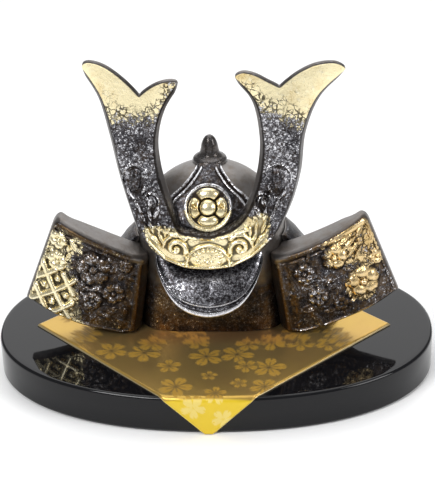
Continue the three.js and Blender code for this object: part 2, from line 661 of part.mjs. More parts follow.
const FLAP_COLUMNS = ['along', 'bottomX', 'bottomZ', 'topX', 'topZ', 'front', 'depth'];
const FLAP_LEFT = table(FLAP_COLUMNS, [
  [0.00, 0.385, 0.002, 0.315, 0.65, 0.72, 0.9],
  [0.06, 0.42, 0.003, 0.35, 0.67, 0.93, 1],
  [0.14, 0.48, 0.008, 0.41, 0.70, 1, 1.06],
  [0.30, 0.59, 0.04, 0.50, 0.762, 1, 1.06],
  [0.50, 0.71, 0.08, 0.60, 0.83, 0.965, 0.98],
  [0.75, 0.86, 0.16, 0.71, 0.893, 0.86, 0.9],
  [1.00, 1.00, 0.25, 0.81, 0.935, 0.64, 0.8],
]);
const FLAP_RIGHT = table(FLAP_COLUMNS, [
  [0.00, 0.375, 0.002, 0.305, 0.65, 0.72, 0.9],
  [0.06, 0.41, 0.004, 0.34, 0.67, 0.93, 1],
  [0.14, 0.475, 0.012, 0.405, 0.70, 1, 1.06],
  [0.30, 0.585, 0.055, 0.50, 0.755, 1, 1.02],
  [0.50, 0.71, 0.12, 0.61, 0.83, 0.965, 0.84],
  [0.75, 0.86, 0.205, 0.72, 0.905, 0.86, 0.7],
  [1.00, 1.00, 0.305, 0.815, 0.96, 0.64, 0.55],
]);

// Part of the left flap that carries the diamond lattice, as shares along and up the flap
const FLAP_LATTICE = [0.58, 0.97, 0.05, 0.46];

function flapPoint(side, along, up) {
  const rows = side < 0 ? FLAP_LEFT : FLAP_RIGHT;
  const at = (name) => column(rows, 'along', name, along);
  const x = side * FLAP_REACH * lerp(at('bottomX'), at('topX'), up);
  const z = HELMET_BASE + FLAP_HEIGHT * lerp(at('bottomZ'), at('topZ'), up);
  return [x, BOWL_AXIS_Y - FLAP_FRONT * at('front'), z];
}

// Front surface of a flap at (x, z), found from the line that passes through the point
const flapSurface = (side) => (x, z, rise) => {
  let [low, high] = [0, 1];
  for (let n = 0; n < 18; n += 1) {
    const middle = 0.5 * (low + high);
    const foot = flapPoint(side, middle, 0);
    const head = flapPoint(side, middle, 1);
    const lineX = lerp(foot[0], head[0], (z - foot[2]) / (head[2] - foot[2]));
    if (side * (x - lineX) > 0) low = middle;
    else high = middle;
  }
  return [x, flapPoint(side, low, 0)[1] - rise, z];
};

function flap(side) {
  const along = [0, 0.05, 0.1, 0.2, 0.32, 0.48, 0.65, 0.82, 0.965, 1];
  const up = [0, 0.03, 0.25, 0.5, 0.75, 0.97, 1];
  const round = 1.4;
  const depth = (a) => FLAP_DEPTH * column(side < 0 ? FLAP_LEFT : FLAP_RIGHT, 'along', 'depth', a);
  const edge = (a, u) => a === 1 || u === 0 || u === 1;
  const front = along.map((a) => up.map((u) => {
    const [x, y, z] = flapPoint(side, a, u);
    return [x, y + (edge(a, u) ? round : 0), z];
  }));
  const back = along.map((a) => up.map((u) => {
    const [x, y, z] = flapPoint(side, a, u);
    const reach = y + depth(a) * lerp(FLAP_BOTTOM_DEPTH, 1, u) - (edge(a, u) ? round : 0);
    return [x, Math.abs(x) < guardReach ? GUARD_END - GAP : reach, z];
  }));
  return join([slab(front, back), ...flapRelief(side)]).subtract(bowlSeat());
}

// Ornament of the flaps: a large blossom, small blossoms, leaves, a border and a lattice corner

function flapRelief(side) {
  const surface = flapSurface(side);
  const at = (along, up) => {
    const [x, , z] = flapPoint(side, along, up);
    return [x, z];
  };
  const parts = [];
  const border = [0.06, 0.2, 0.35, 0.5, 0.65, 0.8, 0.95].map((a) => at(a, 0.93));
  parts.push(ridge(surface, border, 3.6, 0.9));
  const blossoms = table(['along', 'up', 'radius', 'turn'], side < 0
    ? [[0.44, 0.62, 6.6, 20], [0.78, 0.8, 4, 0], [0.8, 0.57, 3.8, 40], [0.3, 0.3, 3.6, 10]]
    : [[0.5, 0.66, 4.6, 20], [0.82, 0.34, 6, 0], [0.2, 0.5, 4.2, 30], [0.42, 0.28, 4, 0]]);
  for (const { along, up, radius, turn } of blossoms) {
    parts.push(blossom(surface, ...at(along, up), radius, THREE.MathUtils.degToRad(turn), FLAP_RELIEF));
  }
  const leaves = side < 0
    ? table(['along', 'up', 'length', 'turn'], [
      [0.62, 0.82, 7, 120], [0.64, 0.7, 6, 100], [0.24, 0.7, 6, 70], [0.22, 0.52, 6, 100], [0.5, 0.36, 8, 160],
      [0.44, 0.2, 7, 150], [0.26, 0.12, 6, 140], [0.13, 0.6, 6, 95], [0.12, 0.35, 6, 85],
    ])
    : table(['along', 'up', 'length', 'turn'], [
      [0.64, 0.84, 8, 70], [0.7, 0.74, 8, 45], [0.86, 0.86, 6, 90], [0.93, 0.72, 6, 110], [0.34, 0.74, 6, 20],
      [0.34, 0.5, 6, 150], [0.56, 0.46, 6, 30], [0.24, 0.26, 6, 100], [0.56, 0.14, 7, 20],
    ]);
  for (const { along, up, length, turn } of leaves) {
    const angle = THREE.MathUtils.degToRad(turn);
    parts.push(boss(surface, ...at(along, up), length, 0.42 * length, angle, 0.7 * FLAP_RELIEF, 4));
  }
  if (side < 0) {
    const [left, right, low, high] = FLAP_LATTICE;
    const corner = (u, v) => at(lerp(left, right, u), lerp(low, high, v));
    for (const [u1, v1, u2, v2] of [[0, 0.5, 0.5, 0], [0, 1, 1, 0], [0.5, 1, 1, 0.5]]) {
      parts.push(ridge(surface, [corner(u1, v1), corner(u2, v2)], 1.2, 1.1));
      parts.push(ridge(surface, [corner(u1, 1 - v1), corner(u2, 1 - v2)], 1.2, 1.1));
    }
  }
  return parts;
}

// Neck guard: flared lames round the back, each edge standing proud of the next

const guardReach = 0.5 * BOWL_WIDTH + GAP + GUARD_FLARE + GUARD_STEP + GUARD_WALL + GAP;

function neckGuard() {
  const lames = Array.from({ length: GUARD_LAMES }, (_, n) => [
    [n / GUARD_LAMES, 0], [(n + 0.97) / GUARD_LAMES, GUARD_STEP],
  ]);
  const profile = [...lames.flat(), [1, GUARD_STEP * 0.6]];
  const count = 20;
  const sheet = (place) => profile.map(([share, proud]) => {
    const flare = place(share, proud);
    const back = BOWL_BACK + GAP + flare;
    const front = BOWL_FRONT + GAP + flare;
    const start = Math.asin((GUARD_END - BOWL_AXIS_Y) / front);
    return Array.from({ length: count + 1 }, (_, k) => {
      const angle = lerp(start, Math.PI - start, k / count);
      const depth = Math.sin(angle) < 0 ? front : back;
      return [
        (0.5 * BOWL_WIDTH + GAP + flare) * Math.cos(angle),
        BOWL_AXIS_Y + depth * Math.sin(angle),
        HELMET_BASE + GUARD_TOP * (1 - share),
      ];
    });
  });
  const topWall = 0.3;
  const outer = sheet((share, proud) => (
    GUARD_FLARE * share + proud + GUARD_WALL * Math.min(1, topWall + 5 * share)));
  const inner = sheet((share) => GUARD_FLARE * share - GUARD_WALL * topWall);
  return slab(outer, inner).subtract(bowlSeat());
}

// Assembly

const IRON = { color: 0x2b2623, roughness: 0.45, metalness: 0.8 };
const GOLD = { color: 0xc9a24a, roughness: 0.35, metalness: 0.9 };
const LACQUER = { color: 0x0b0b0d, roughness: 0.08, metalness: 0 };
const CLOTH = { color: 0xc9a63c, roughness: 0.6, metalness: 0.1 };

const ornament = new THREE.Group();
const helmet = new THREE.Group();
helmet.position.x = HELMET_X;
ornament.add(helmet);

function add(parent, name, body, finish) {
  const mesh = new THREE.Mesh(geometry(body), new THREE.MeshStandardMaterial(finish));
  mesh.name = name;
  parent.add(mesh);
}

add(ornament, 'display_board', displayBoard(), LACQUER);
add(ornament, 'display_cloth', displayCloth(), CLOTH);
add(helmet, 'bowl', bowl(), IRON);
add(helmet, 'finial', finial(), IRON);
add(helmet, 'front_plate', frontPlate(), IRON);
add(helmet, 'medallion', medallion(), IRON);
add(helmet, 'medallion_flower', medallionFlower(), GOLD);
add(helmet, 'crest', crest(), IRON);
add(helmet, 'peak', peak(), IRON);
add(helmet, 'flap_left', flap(-1), IRON);
add(helmet, 'flap_right', flap(1), IRON);
add(helmet, 'neck_guard', neckGuard(), IRON);

export default ornament;
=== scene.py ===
"""Kabuto helmet ornament on an oval lacquered board: the dressed model, its materials and its stage."""
import math

import bpy
import numpy as np
from mathutils import Matrix, Vector


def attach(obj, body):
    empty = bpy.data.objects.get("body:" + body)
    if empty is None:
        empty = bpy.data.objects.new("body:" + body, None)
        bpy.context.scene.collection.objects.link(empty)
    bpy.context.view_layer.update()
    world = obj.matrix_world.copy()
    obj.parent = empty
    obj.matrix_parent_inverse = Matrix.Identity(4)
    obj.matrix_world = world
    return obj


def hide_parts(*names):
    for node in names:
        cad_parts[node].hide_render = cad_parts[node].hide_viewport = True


bl_info = {
    "name": "Kabuto Helmet Ornament",
    "version": (1, 0, 0),
    "blender": (4, 5, 0),
    "location": "3D View > Sidebar > Kabuto",
    "description": "Builds a cast iron kabuto ornament with its board, cloth, materials and stage",
    "category": "Add Mesh",
}

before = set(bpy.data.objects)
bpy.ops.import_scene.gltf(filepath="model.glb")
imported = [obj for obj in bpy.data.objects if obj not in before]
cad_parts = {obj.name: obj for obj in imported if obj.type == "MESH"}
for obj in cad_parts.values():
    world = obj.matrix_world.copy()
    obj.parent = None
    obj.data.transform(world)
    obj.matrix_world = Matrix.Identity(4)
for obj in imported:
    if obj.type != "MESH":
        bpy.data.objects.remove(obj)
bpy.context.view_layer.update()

MM = 0.001
# rise drives painted highlight on raised places and painted shade in the hollows
METAL_MARKS = ("rise", "gilt", "worn")
CLOTH_MARKS = ("bloom", "line", "hang", "glow", "cut")


# Sizes and colours

def length(name, description, default):
    """Property for a size in metres"""
    return bpy.props.FloatProperty(name=name, description=description, default=default,
                                   unit="LENGTH", subtype="DISTANCE", precision=4)


def colour(name, description, default):
    """Property for a base colour"""
    return bpy.props.FloatVectorProperty(name=name, description=description, default=default,
                                         subtype="COLOR", size=3, min=0.0, max=1.0)


class KabutoSizes(bpy.types.PropertyGroup):
    """Driving sizes of the ornament, all in metres"""
    board_length: length("Board length", "Long axis of the oval board", 0.210)
    board_depth: length("Board depth", "Short axis of the oval board", 0.135)
    board_thickness: length("Board thickness", "Height of the board", 0.018)
    board_edge: length("Board edge radius", "Rounding of the board's two edges", 0.0016)
    cloth_side: length("Cloth side", "Side of the square cloth before it is folded over", 0.1215)
    cloth_thickness: length("Cloth thickness", "Thickness of the cloth with its lining", 0.001)
    bowl_width: length("Bowl width", "Width of the helmet bowl", 0.072)
    bowl_front: length("Bowl front", "Reach of the bowl in front of its axis", 0.0305)
    bowl_back: length("Bowl back", "Reach of the bowl behind its axis", 0.031)
    bowl_height: length("Bowl height", "Height of the bowl over its foot", 0.0795)
    bowl_wall: length("Bowl wall", "Thickness of the cast wall", 0.004)
    crest_height: length("Crest height", "Height of the crest over its lowest edge", 0.095)
    crest_half_span: length("Crest half span", "Half of the width the horn heads reach", 0.058)
    crest_thickness: length("Crest thickness", "Thickness of the crest's band", 0.0078)
    flap_reach: length("Flap reach", "Distance from the middle to a flap's outer corner", 0.0895)
    flap_height: length("Flap height", "Height of the flaps over the foot", 0.0635)
    guard_top: length("Neck guard height", "Height of the neck guard over the foot", 0.046)
    guard_flare: length("Neck guard flare", "How far the neck guard spreads", 0.021)


class KabutoColours(bpy.types.PropertyGroup):
    """Base colours of the finishes"""
    iron: colour("Iron", "Dark patina of the decorated faces", (0.017, 0.015, 0.017))
    # Smooth iron: its grey stands partly for painted reflection of the bright studio at grazing angles
    wall: colour("Smooth iron", "Plain walls and the dome", (0.17, 0.158, 0.15))
    # Brown patina: real patches of it, also used as brown painted highlight on raised edges
    rust: colour("Brown patina", "Brown of the recesses and of the base wall", (0.085, 0.05, 0.019))
    steel: colour("Blue grey", "Half worn places between the bright specks", (0.2, 0.2, 0.22))
    silver: colour("Silver speckle", "Bright places rubbed through the patina", (0.74, 0.74, 0.77))
    gold: colour("Champagne gold", "Gold of the horn heads and the band", (0.93, 0.82, 0.52))
    old_gold: colour("Old gold", "Gold of the flaps' ornament", (0.74, 0.56, 0.29))
    lacquer: colour("Lacquer", "Black lacquer of the board", (0.004, 0.004, 0.005))
    cloth: colour("Cloth ground", "Ground of the cloth", (0.53, 0.34, 0.07))
    blossom: colour("Cloth blossoms", "Blossoms of the cloth", (0.38, 0.205, 0.006))


def sizes():
    return bpy.context.scene.kabuto_sizes


def colours():
    return bpy.context.scene.kabuto_colours


# Curves and tables

def table(names, rows):
    """Columns of a table as arrays under their names"""
    return dict(zip(names, np.array(rows, float).T))


class Profile:
    """Smooth monotone curve through the rows of two columns"""

    def __init__(self, keys, values):
        self.keys = np.array(keys, float)
        self.values = np.array(values, float)
        slope = np.diff(self.values) / np.diff(self.keys)
        before, after = slope[:-1], slope[1:]
        product = before * after
        total = np.where(product > 0, before + after, 1)
        inner = np.where(product > 0, 2 * product / total, 0)
        self.tangents = np.concatenate([slope[:1], inner, slope[-1:]])

    def __call__(self, at):
        at = np.clip(at, self.keys[0], self.keys[-1])
        i = np.clip(np.searchsorted(self.keys, at, side="right") - 1, 0, len(self.keys) - 2)
        span = self.keys[i + 1] - self.keys[i]
        t = (at - self.keys[i]) / span
        u = 1 - t
        return ((1 + 2 * t) * u * u * self.values[i] + t * u * u * span * self.tangents[i]
                + t * t * (3 - 2 * t) * self.values[i + 1] - t * t * u * span * self.tangents[i + 1])


def spline(points, at):
    """Smooth curve through points that are evenly numbered"""
    points = np.array(points, float)
    last = len(points) - 1
    at = np.asarray(at, float)
    i = np.clip(np.floor(at).astype(int), 0, last - 1)
    t = (at - i)[..., None]
    a, b, c, d = (points[np.clip(i + n, 0, last)] for n in (-1, 0, 1, 2))
    return 0.5 * (2 * b + (c - a) * t + (2 * a - 5 * b + 4 * c - d) * t * t
                  + (3 * b - a - 3 * c + d) * t * t * t)


def smooth(low, high, x):
    """Smooth step from 0 at low to 1 at high, and downwards where high is the smaller"""
    t = np.clip((x - low) / (high - low), 0, 1)
    return t * t * (3 - 2 * t)


def ramp(start, stop, count, power=1.0):
    """Numbers from start to stop, closer together near both ends when the power is over one"""
    t = np.linspace(-1, 1, count)
    return start + (stop - start) * 0.5 * (1 + np.sign(t) * (1 - (1 - np.abs(t)) ** power))


# Meshes

def make_mesh(name, points, faces, node, material, attributes=None, sharp=50):
    """Object from points in mm that stands for a node, with its outside turned outwards"""
    points = np.asarray(points, float) * MM
    triangles = [(f[0], f[k], f[k + 1]) for f in faces for k in range(1, len(f) - 1)]
    corner = points[np.array(triangles)]
    volume = np.einsum("ij,ij->i", corner[:, 0], np.cross(corner[:, 1], corner[:, 2])).sum()
    if volume < 0:
        faces = [tuple(reversed(f)) for f in faces]
    mesh = bpy.data.meshes.new(name)
    mesh.from_pydata(points.tolist(), [], faces)
    for key, values in (attributes or {}).items():
        layer = mesh.attributes.new(key, "FLOAT", "POINT")
        layer.data.foreach_set("value", np.asarray(values, np.float32))
    mesh.polygons.foreach_set("use_smooth", [True] * len(mesh.polygons))
    mesh.set_sharp_from_angle(angle=math.radians(sharp))
    mesh.update()
    mesh.validate()
    piece = bpy.data.objects.new(name, mesh)
    bpy.context.scene.collection.objects.link(piece)
    mesh.materials.append(material)
    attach(piece, "root")
    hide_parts(node)
    return piece


def sheet_faces(rows, columns, start=0, flip=False, wrap=False):
    """Four-sided faces between the rows and columns of a grid of points"""
    faces = []
    for i in range(rows - 1):
        for j in range(columns if wrap else columns - 1):
            k = (j + 1) % columns
            face = (start + i * columns + j, start + (i + 1) * columns + j,
                    start + (i + 1) * columns + k, start + i * columns + k)
            faces.append(tuple(reversed(face)) if flip else face)
    return faces


def slab(front, back):
    """Points and faces of the solid between two sheets of points"""
    rows, columns = front.shape[:2]
    count = rows * columns
    points = np.concatenate([front.reshape(-1, 3), back.reshape(-1, 3)])
    faces = sheet_faces(rows, columns) + sheet_faces(rows, columns, count, flip=True)
    border = [(0, j) for j in range(columns)] + [(i, columns - 1) for i in range(1, rows)]
    border += [(rows - 1, j) for j in range(columns - 2, -1, -1)]
    border += [(i, 0) for i in range(rows - 2, 0, -1)]
    ids = [i * columns + j for i, j in border]
    for a, b in zip(ids, ids[1:] + ids[:1]):
        faces.append((a, b, b + count, a + count))
    return points, faces


def rings(loops, start, end):
    """Points and faces of the solid through closed rings, each end drawn in to one point"""
    loops = np.asarray(loops, float)
    rows, columns = loops.shape[:2]
    points = np.concatenate([loops.reshape(-1, 3), [start], [end]])
    faces = sheet_faces(rows, columns, wrap=True)
    first, last = rows * columns, rows * columns + 1
    for j in range(columns):
        k = (j + 1) % columns
        faces.append((first, j, k))
        faces.append((last, (rows - 1) * columns + k, (rows - 1) * columns + j))
    return points, faces


class Relief:
    """Low relief on a face, worked out in mm at the points u, v of a grid"""

    def __init__(self, u, v):
        self.u, self.v = u, v
        self.rise = np.zeros_like(u)

    def add(self, height):
        self.rise = np.maximum(self.rise, height)

    def local(self, cu, cv, turn):
        """Places seen from a centre, along and across a direction in degrees"""
        a = math.radians(turn)
        du, dv = self.u - cu, self.v - cv
        return du * math.cos(a) + dv * math.sin(a), -du * math.sin(a) + dv * math.cos(a)

    def dome(self, cu, cv, long, wide, turn, height):
        """Half of an ellipsoid"""
        p, q = self.local(cu, cv, turn)
        self.add(height * np.sqrt(np.clip(1 - (2 * p / long) ** 2 - (2 * q / wide) ** 2, 0, 1)))

    def dimple(self, cu, cv, radius, depth):
        """Small round hollow, taken out of what is there"""
        p, q = self.local(cu, cv, 0)
        self.rise = self.rise - depth * np.clip(1 - (p * p + q * q) / radius ** 2, 0, 1) ** 0.6

    def leaf(self, cu, cv, long, wide, turn, height):
        """Pointed leaf with a groove along its middle"""
        p, q = self.local(cu, cv, turn)
        t = np.clip(np.abs(2 * p / long), 0, 1)
        edge = 0.5 * wide * (1 - t ** 1.8)
        inside = np.clip(1 - (q / np.maximum(edge, 1e-3)) ** 2, 0, 1)
        groove = 1 - 0.45 * np.exp(-(q / (0.14 * wide)) ** 2)
        self.add(np.where(t < 1, height * np.sqrt(inside) * groove, 0))

    def stroke(self, path, width, height, taper=0.0):
        """Round bead along a path, thinner and lower towards its end by the taper"""
        path = np.array(path, float)
        step = np.hypot(*np.diff(path, axis=0).T)
        run = np.concatenate([[0], np.cumsum(step)]) / step.sum()
        for a, b, s0, s1 in zip(path[:-1], path[1:], run[:-1], run[1:]):
            d = b - a
            t = np.clip(((self.u - a[0]) * d[0] + (self.v - a[1]) * d[1]) / (d @ d), 0, 1)
            gap = np.hypot(self.u - a[0] - t * d[0], self.v - a[1] - t * d[1])
            s = s0 + t * (s1 - s0)
            half = 0.5 * width * (1 - taper * s ** 1.5)
            self.add(height * (1 - 0.4 * taper * s) * np.sqrt(np.clip(1 - (gap / half) ** 2, 0, 1)))

    def spiral(self, cu, cv, radius, start, turns, width, height, mirror):
        """Scroll that winds in from its radius to a dome in its middle"""
        s = np.linspace(0, 1, 34)
        angle = math.radians(start) + mirror * s * turns * 2 * math.pi
        r = radius * (1 - 0.86 * s ** 0.85)
        path = np.stack([cu + r * np.cos(angle), cv + r * np.sin(angle)], 1)
        self.stroke(path, width, height, 0.25)
        self.dome(cu, cv, 0.44 * radius, 0.44 * radius, 0, height * 1.1)

    def blossom(self, cu, cv, radius, turn, height):
        """Blossom of five notched petals round a domed heart"""
        for k in range(5):
            angle = turn + 360 * k / 5
            along, up = math.cos(math.radians(angle)), math.sin(math.radians(angle))
            middle, tip = 0.6 * radius, 0.92 * radius
            self.dome(cu + middle * along, cv + middle * up,
                      0.86 * radius, 0.98 * radius, angle, height)
            self.dimple(cu + tip * along, cv + tip * up, 0.13 * radius, 0.35 * height)
        self.dome(cu, cv, 0.52 * radius, 0.52 * radius, 0, 1.15 * height)


def arc(cu, cv, radius, start, stop, count=14, squash=1.0):
    """Points on an arc between two angles in degrees"""
    a = np.radians(np.linspace(start, stop, count))
    return np.stack([cu + radius * np.cos(a), cv + squash * radius * np.sin(a)], 1)


# Shader nodes

class Socket:
    """Output of a shader node that can be used in Python expressions"""

    def __init__(self, tree, output):
        self.tree, self.output = tree, output

    def math(self, operation, other, clamp=False):
        return self.tree.node("ShaderNodeMath", {"operation": operation, "use_clamp": clamp},
                              {0: self, 1: other})

    def __add__(self, other):
        return self.math("ADD", other)

    def __sub__(self, other):
        return self.math("SUBTRACT", other)

    def __mul__(self, other):
        return self.math("MULTIPLY", other)

    def __rsub__(self, other):
        return self.tree.node("ShaderNodeMath", {"operation": "SUBTRACT"}, {0: other, 1: self})

    __radd__ = __add__
    __rmul__ = __mul__

    def step(self, low, high):
        """Smooth step from 0 at low to 1 at high"""
        return self.tree.node("ShaderNodeMapRange", {"interpolation_type": "SMOOTHSTEP"},
                              {"Value": self, "From Min": low, "From Max": high})


class Finish:
    """Material with one main shader, its nodes made through one method"""

    def __init__(self, name):
        self.material = bpy.data.materials.new(name)
        self.material.use_nodes = True
        self.nodes = self.material.node_tree.nodes
        self.links = self.material.node_tree.links
        self.shader = self.nodes["Principled BSDF"]
        self.place = self.node("ShaderNodeTexCoord", output="Object")

    def node(self, kind, settings=None, inputs=None, output=0):
        """New node with its settings made first, then the values or links of its inputs"""
        made = self.nodes.new(kind)
        for key, value in (settings or {}).items():
            setattr(made, key, value)
        for key, value in (inputs or {}).items():
            self.feed(made.inputs[key], value)
        return Socket(self, made.outputs[output])

    def feed(self, socket, value):
        if isinstance(value, Socket):
            self.links.new(value.output, socket)
        else:
            socket.default_value = (*value, 1.0) if socket.type == "RGBA" else value

    def set(self, **inputs):
        """Inputs of the main shader, by their names in small letters"""
        for key, value in inputs.items():
            label = key.replace("_", " ").title().replace("Ior", "IOR")
            self.feed(self.shader.inputs[label], value)

    def noise(self, scale, detail, roughness, distortion=0.0, place=None):
        """Noise from 0 to 1, with its scale per metre"""
        return self.node("ShaderNodeTexNoise", {"noise_dimensions": "3D"}, {
            "Vector": place or self.place, "Scale": scale, "Detail": detail,
            "Roughness": roughness, "Distortion": distortion}, "Fac")

    def cell_borders(self, scale, place):
        """Distance to the nearest border between irregular cells"""
        return self.node("ShaderNodeTexVoronoi", {"feature": "DISTANCE_TO_EDGE"},
                         {"Vector": place, "Scale": scale}, "Distance")

    def attribute(self, name):
        return self.node("ShaderNodeAttribute", {"attribute_name": name}, output="Fac")

    def mix(self, factor, a, b):
        """Colour between a and b by the factor"""
        made = self.nodes.new("ShaderNodeMix")
        made.data_type = "RGBA"
        colour_a, colour_b = [s for s in made.inputs if s.type == "RGBA"]
        self.feed(made.inputs["Factor"], factor)
        self.feed(colour_a, a)
        self.feed(colour_b, b)
        return Socket(self, next(s for s in made.outputs if s.type == "RGBA"))

    def blend(self, factor, a, b):
        """Number between a and b by the factor"""
        return factor * (b - a) + a

    def bump(self, height, strength, distance, normal=None):
        """Normal from a height of 0 to 1, over another one where it is given"""
        inputs = {"Height": height, "Strength": strength, "Distance": distance}
        if normal:
            inputs["Normal"] = normal
        return self.node("ShaderNodeBump", {}, inputs)


SHADE_AND_CRACK_DARK = (0.014, 0.009, 0.006)
DEEP_GOLD = (0.62, 0.5, 0.3)
# Gains for the pale gold, whose pale places stand partly for painted highlight
PALE_GOLD = (1.1, 1.13, 1.32)


def cast_metal(name, gold, brown, shine):
    """Patinated cast iron: silvery speckle where worn, gold where gilt, painted shade in the recesses
    and painted highlight on raised edges

    Brown is the share of brown patina, and shine is the roughness of the plain iron.
    """
    c = colours()
    f = Finish(name)
    rise, gilt, worn = (f.attribute(key) for key in METAL_MARKS)
    grain = f.noise(scale=1700, detail=3.0, roughness=0.7)
    coarse = f.noise(scale=700, detail=3.0, roughness=0.62, distortion=0.3)
    patina = f.noise(scale=210, detail=4.0, roughness=0.7)
    cloud = f.noise(scale=75, detail=3.0, roughness=0.6)
    wander = f.node("ShaderNodeTexNoise", {}, {"Vector": f.place, "Scale": 420.0}, "Color")
    bend = f.node("ShaderNodeVectorMath", {"operation": "SCALE"}, {0: wander, "Scale": 0.0035})
    bent = f.node("ShaderNodeVectorMath", {"operation": "ADD"}, {0: f.place, 1: bend})
    split = f.cell_borders(430, bent)
    plates = f.cell_borders(380, bent)

    # Iron: plain wall grey, partly a painted reflection; patches of brown patina, with brown painted
    # highlight on raised edges; blue grey half worn places; silver specks of wear, with painted
    # highlight on raised edges
    face = worn.step(0.02, 0.16)
    # Raised places by the rise mark, which give the painted highlights below
    edge = (rise - 0.5).math("MAXIMUM", 0.0)
    mottle = grain * 0.5 + coarse * 0.5
    half_worn = (mottle + cloud * 0.35 + worn * 0.12).step(0.64, 0.8) * face * (1 - brown * 0.75)
    # Silver specks are wear; the edge term adds painted highlight on raised edges
    rubbed = mottle + worn * 0.18 + edge * (0.34 - 0.3 * brown) + cloud * 0.18
    bright = rubbed.step(0.735, 0.795) * face
    stain_and_edge_light = (patina + cloud * 0.5).step(0.62, 0.92) * f.blend(face, 0.4, 1.0)
    # Brown patina in patches, and brown painted highlight on raised edges
    stain_and_edge_light = stain_and_edge_light.math("MAXIMUM", edge.math("MULTIPLY", 4.0, clamp=True) * face) * brown
    base = f.mix(stain_and_edge_light, f.mix(face, c.wall, c.iron), c.rust)
    base = f.mix(half_worn * split.step(0.01, 0.09), base, c.steel)
    base = f.mix(bright * f.blend(split.step(0.0, 0.06), 0.45, 1.0), base, c.silver)

    # Gilding: deep places, and pale ones that are partly random and partly painted highlight on raised
    # edges, broken into flakes where it thins out
    flakes = (coarse - 0.5) * 1.1 + (grain - 0.5) * 0.6 + (patina - 0.5) * 1.0 + 0.5
    leaf = (gilt * 1.5 - 0.25 - flakes + edge * 0.3).step(-0.06, 0.1)
    deep = [part * share for part, share in zip(gold, DEEP_GOLD)]
    pale = [min(part * gain, 1.0) for part, gain in zip(gold, PALE_GOLD)]
    tone = f.mix((cloud * 0.8 + grain * 0.4).step(0.54, 0.9), gold, deep)
    # Pale gold on noise patches and, through edge, painted highlight on raised edges
    tone = f.mix((patina * 0.6 + coarse * 0.5 + edge * 0.25).step(0.56, 0.74) * 0.75, tone, pale)
    base = f.mix(leaf, base, tone)
    seam = 1 - (plates - (1 - gilt) * 0.22).step(0.0, 0.045)
    spread = (patina + cloud * 0.3 + (1 - gilt) * 0.7).step(0.68, 0.9)
    cracks = seam * spread * 0.9 * leaf

    # Painted shade in the recesses, dark cracks, gloss and skin
    # Painted shade: low places by the rise mark are darkened to near black
    hollow = (rise + grain * 0.1 + leaf * 0.08).step(0.44, 0.16) * face
    base = f.mix((hollow * 0.85).math("MAXIMUM", cracks), base, SHADE_AND_CRACK_DARK)
    rough = f.blend(leaf, f.blend(bright, shine, 0.2), 0.25)
    rough = rough + (grain - 0.5) * 0.3 + hollow * 0.2 + cracks * 0.2
    skin = f.bump(coarse * 0.6 + grain * 0.5, 0.3, 0.0003)
    f.set(base_color=base, metallic=f.blend(leaf, 0.88, 0.95), roughness=rough,
          specular_ior_level=0.5, normal=f.bump(patina - cracks * 0.3, 0.26, 0.0006, skin))
    return f.material


def lacquer_finish():
    """Gloss black lacquer with a faint ripple and a little dust"""
    c = colours()
    f = Finish("black_lacquer_gloss")
    ripple = f.noise(scale=55, detail=2.0, roughness=0.5)
    dust = f.noise(scale=900, detail=3.0, roughness=0.7)
    dusty = (0.012, 0.012, 0.014)
    f.set(base_color=f.mix(dust.step(0.55, 0.8) * 0.25, c.lacquer, dusty), metallic=0.0,
          roughness=0.045 + dust.step(0.4, 0.75) * 0.03, specular_ior_level=0.3,
          normal=f.bump(ripple, 0.03, 0.0006))
    return f.material


def cloth_finish():
    """Satin gold cloth: printed blossoms on a woven ground, yellower where it hangs, with a painted
    copper glow in front of the helmet's foot as a painted reflection
    """
    shaded, outline, thread = (0.5, 0.31, 0.07), (0.13, 0.08, 0.015), (0.4, 0.27, 0.08)
    yellow, pale_yellow = (0.74, 0.52, 0.015), (0.8, 0.66, 0.24)
    copper, cut_edge = (0.66, 0.27, 0.04), (0.9, 0.78, 0.5)
    c = colours()
    f = Finish("gold_brocade")
    flat = f.node("ShaderNodeUVMap", {"uv_map": "flat"})
    bloom, line, hang, glow, cut = (f.attribute(key) for key in CLOTH_MARKS)
    warp, weft = (
        f.node("ShaderNodeTexWave", {"bands_direction": direction, "wave_profile": "SIN"},
               {"Vector": flat, "Scale": 620.0, "Distortion": 0.4, "Detail": 1.0}, "Fac")
        for direction in ("X", "Y"))
    slub = f.noise(scale=260, detail=3.0, roughness=0.7, place=flat)
    tone = f.noise(scale=40, detail=2.0, roughness=0.5, place=flat)
    ground = f.mix(tone.step(0.35, 0.7), c.cloth, shaded)
    woven = f.mix(bloom * (0.78 + slub * 0.2), ground, c.blossom)
    woven = f.mix(line * 0.8, woven, outline)
    base = f.mix(hang, woven, f.mix(bloom * 0.6, yellow, pale_yellow))
    base = f.mix(slub.step(0.55, 0.8) * 0.18, base, thread)
    # Painted reflection: copper glow in front of the helmet's foot
    base = f.mix(glow * 0.6, base, copper)
    base = f.mix(cut * 0.7, base, cut_edge)
    threads = f.bump(warp * 0.5 + weft * 0.5, 0.14, 0.00012)
    f.set(base_color=base, metallic=f.blend(bloom, 0.82, 0.25) * (1 - hang * 0.8),
          roughness=f.blend(bloom, 0.26, 0.5) + slub * 0.08, sheen_weight=0.15,
          normal=f.bump(bloom, 0.2, 0.0001, threads))
    return f.material


# Forms of the helmet

GAP = 0.3
HELMET_X = -1.5
AXIS_Y = 12.0
CREST_FRONT = 38.0
CREST_BELOW_APEX = 37.0
FINIAL = {"height": 12.4, "radius": 8.25, "behind_axis": 4.0}
PLATE = {"width": 37.0, "height": 30.0, "thickness": 2.6, "crown": 3.0, "below_apex": 0.8}
MEDALLION = {"radius": 11.3, "thickness": 2.4, "tilt": 30.0, "up_plate": 19.74}
PEAK = {"half": 25.0, "reach": 13.0, "drop": 17.5, "thickness": 3.0, "bulge": 2.2}
GUARD = {"wall": 3.2, "step": 1.5, "lames": 4, "end": 1.7}
HEAD_THICKNESS = 2.3

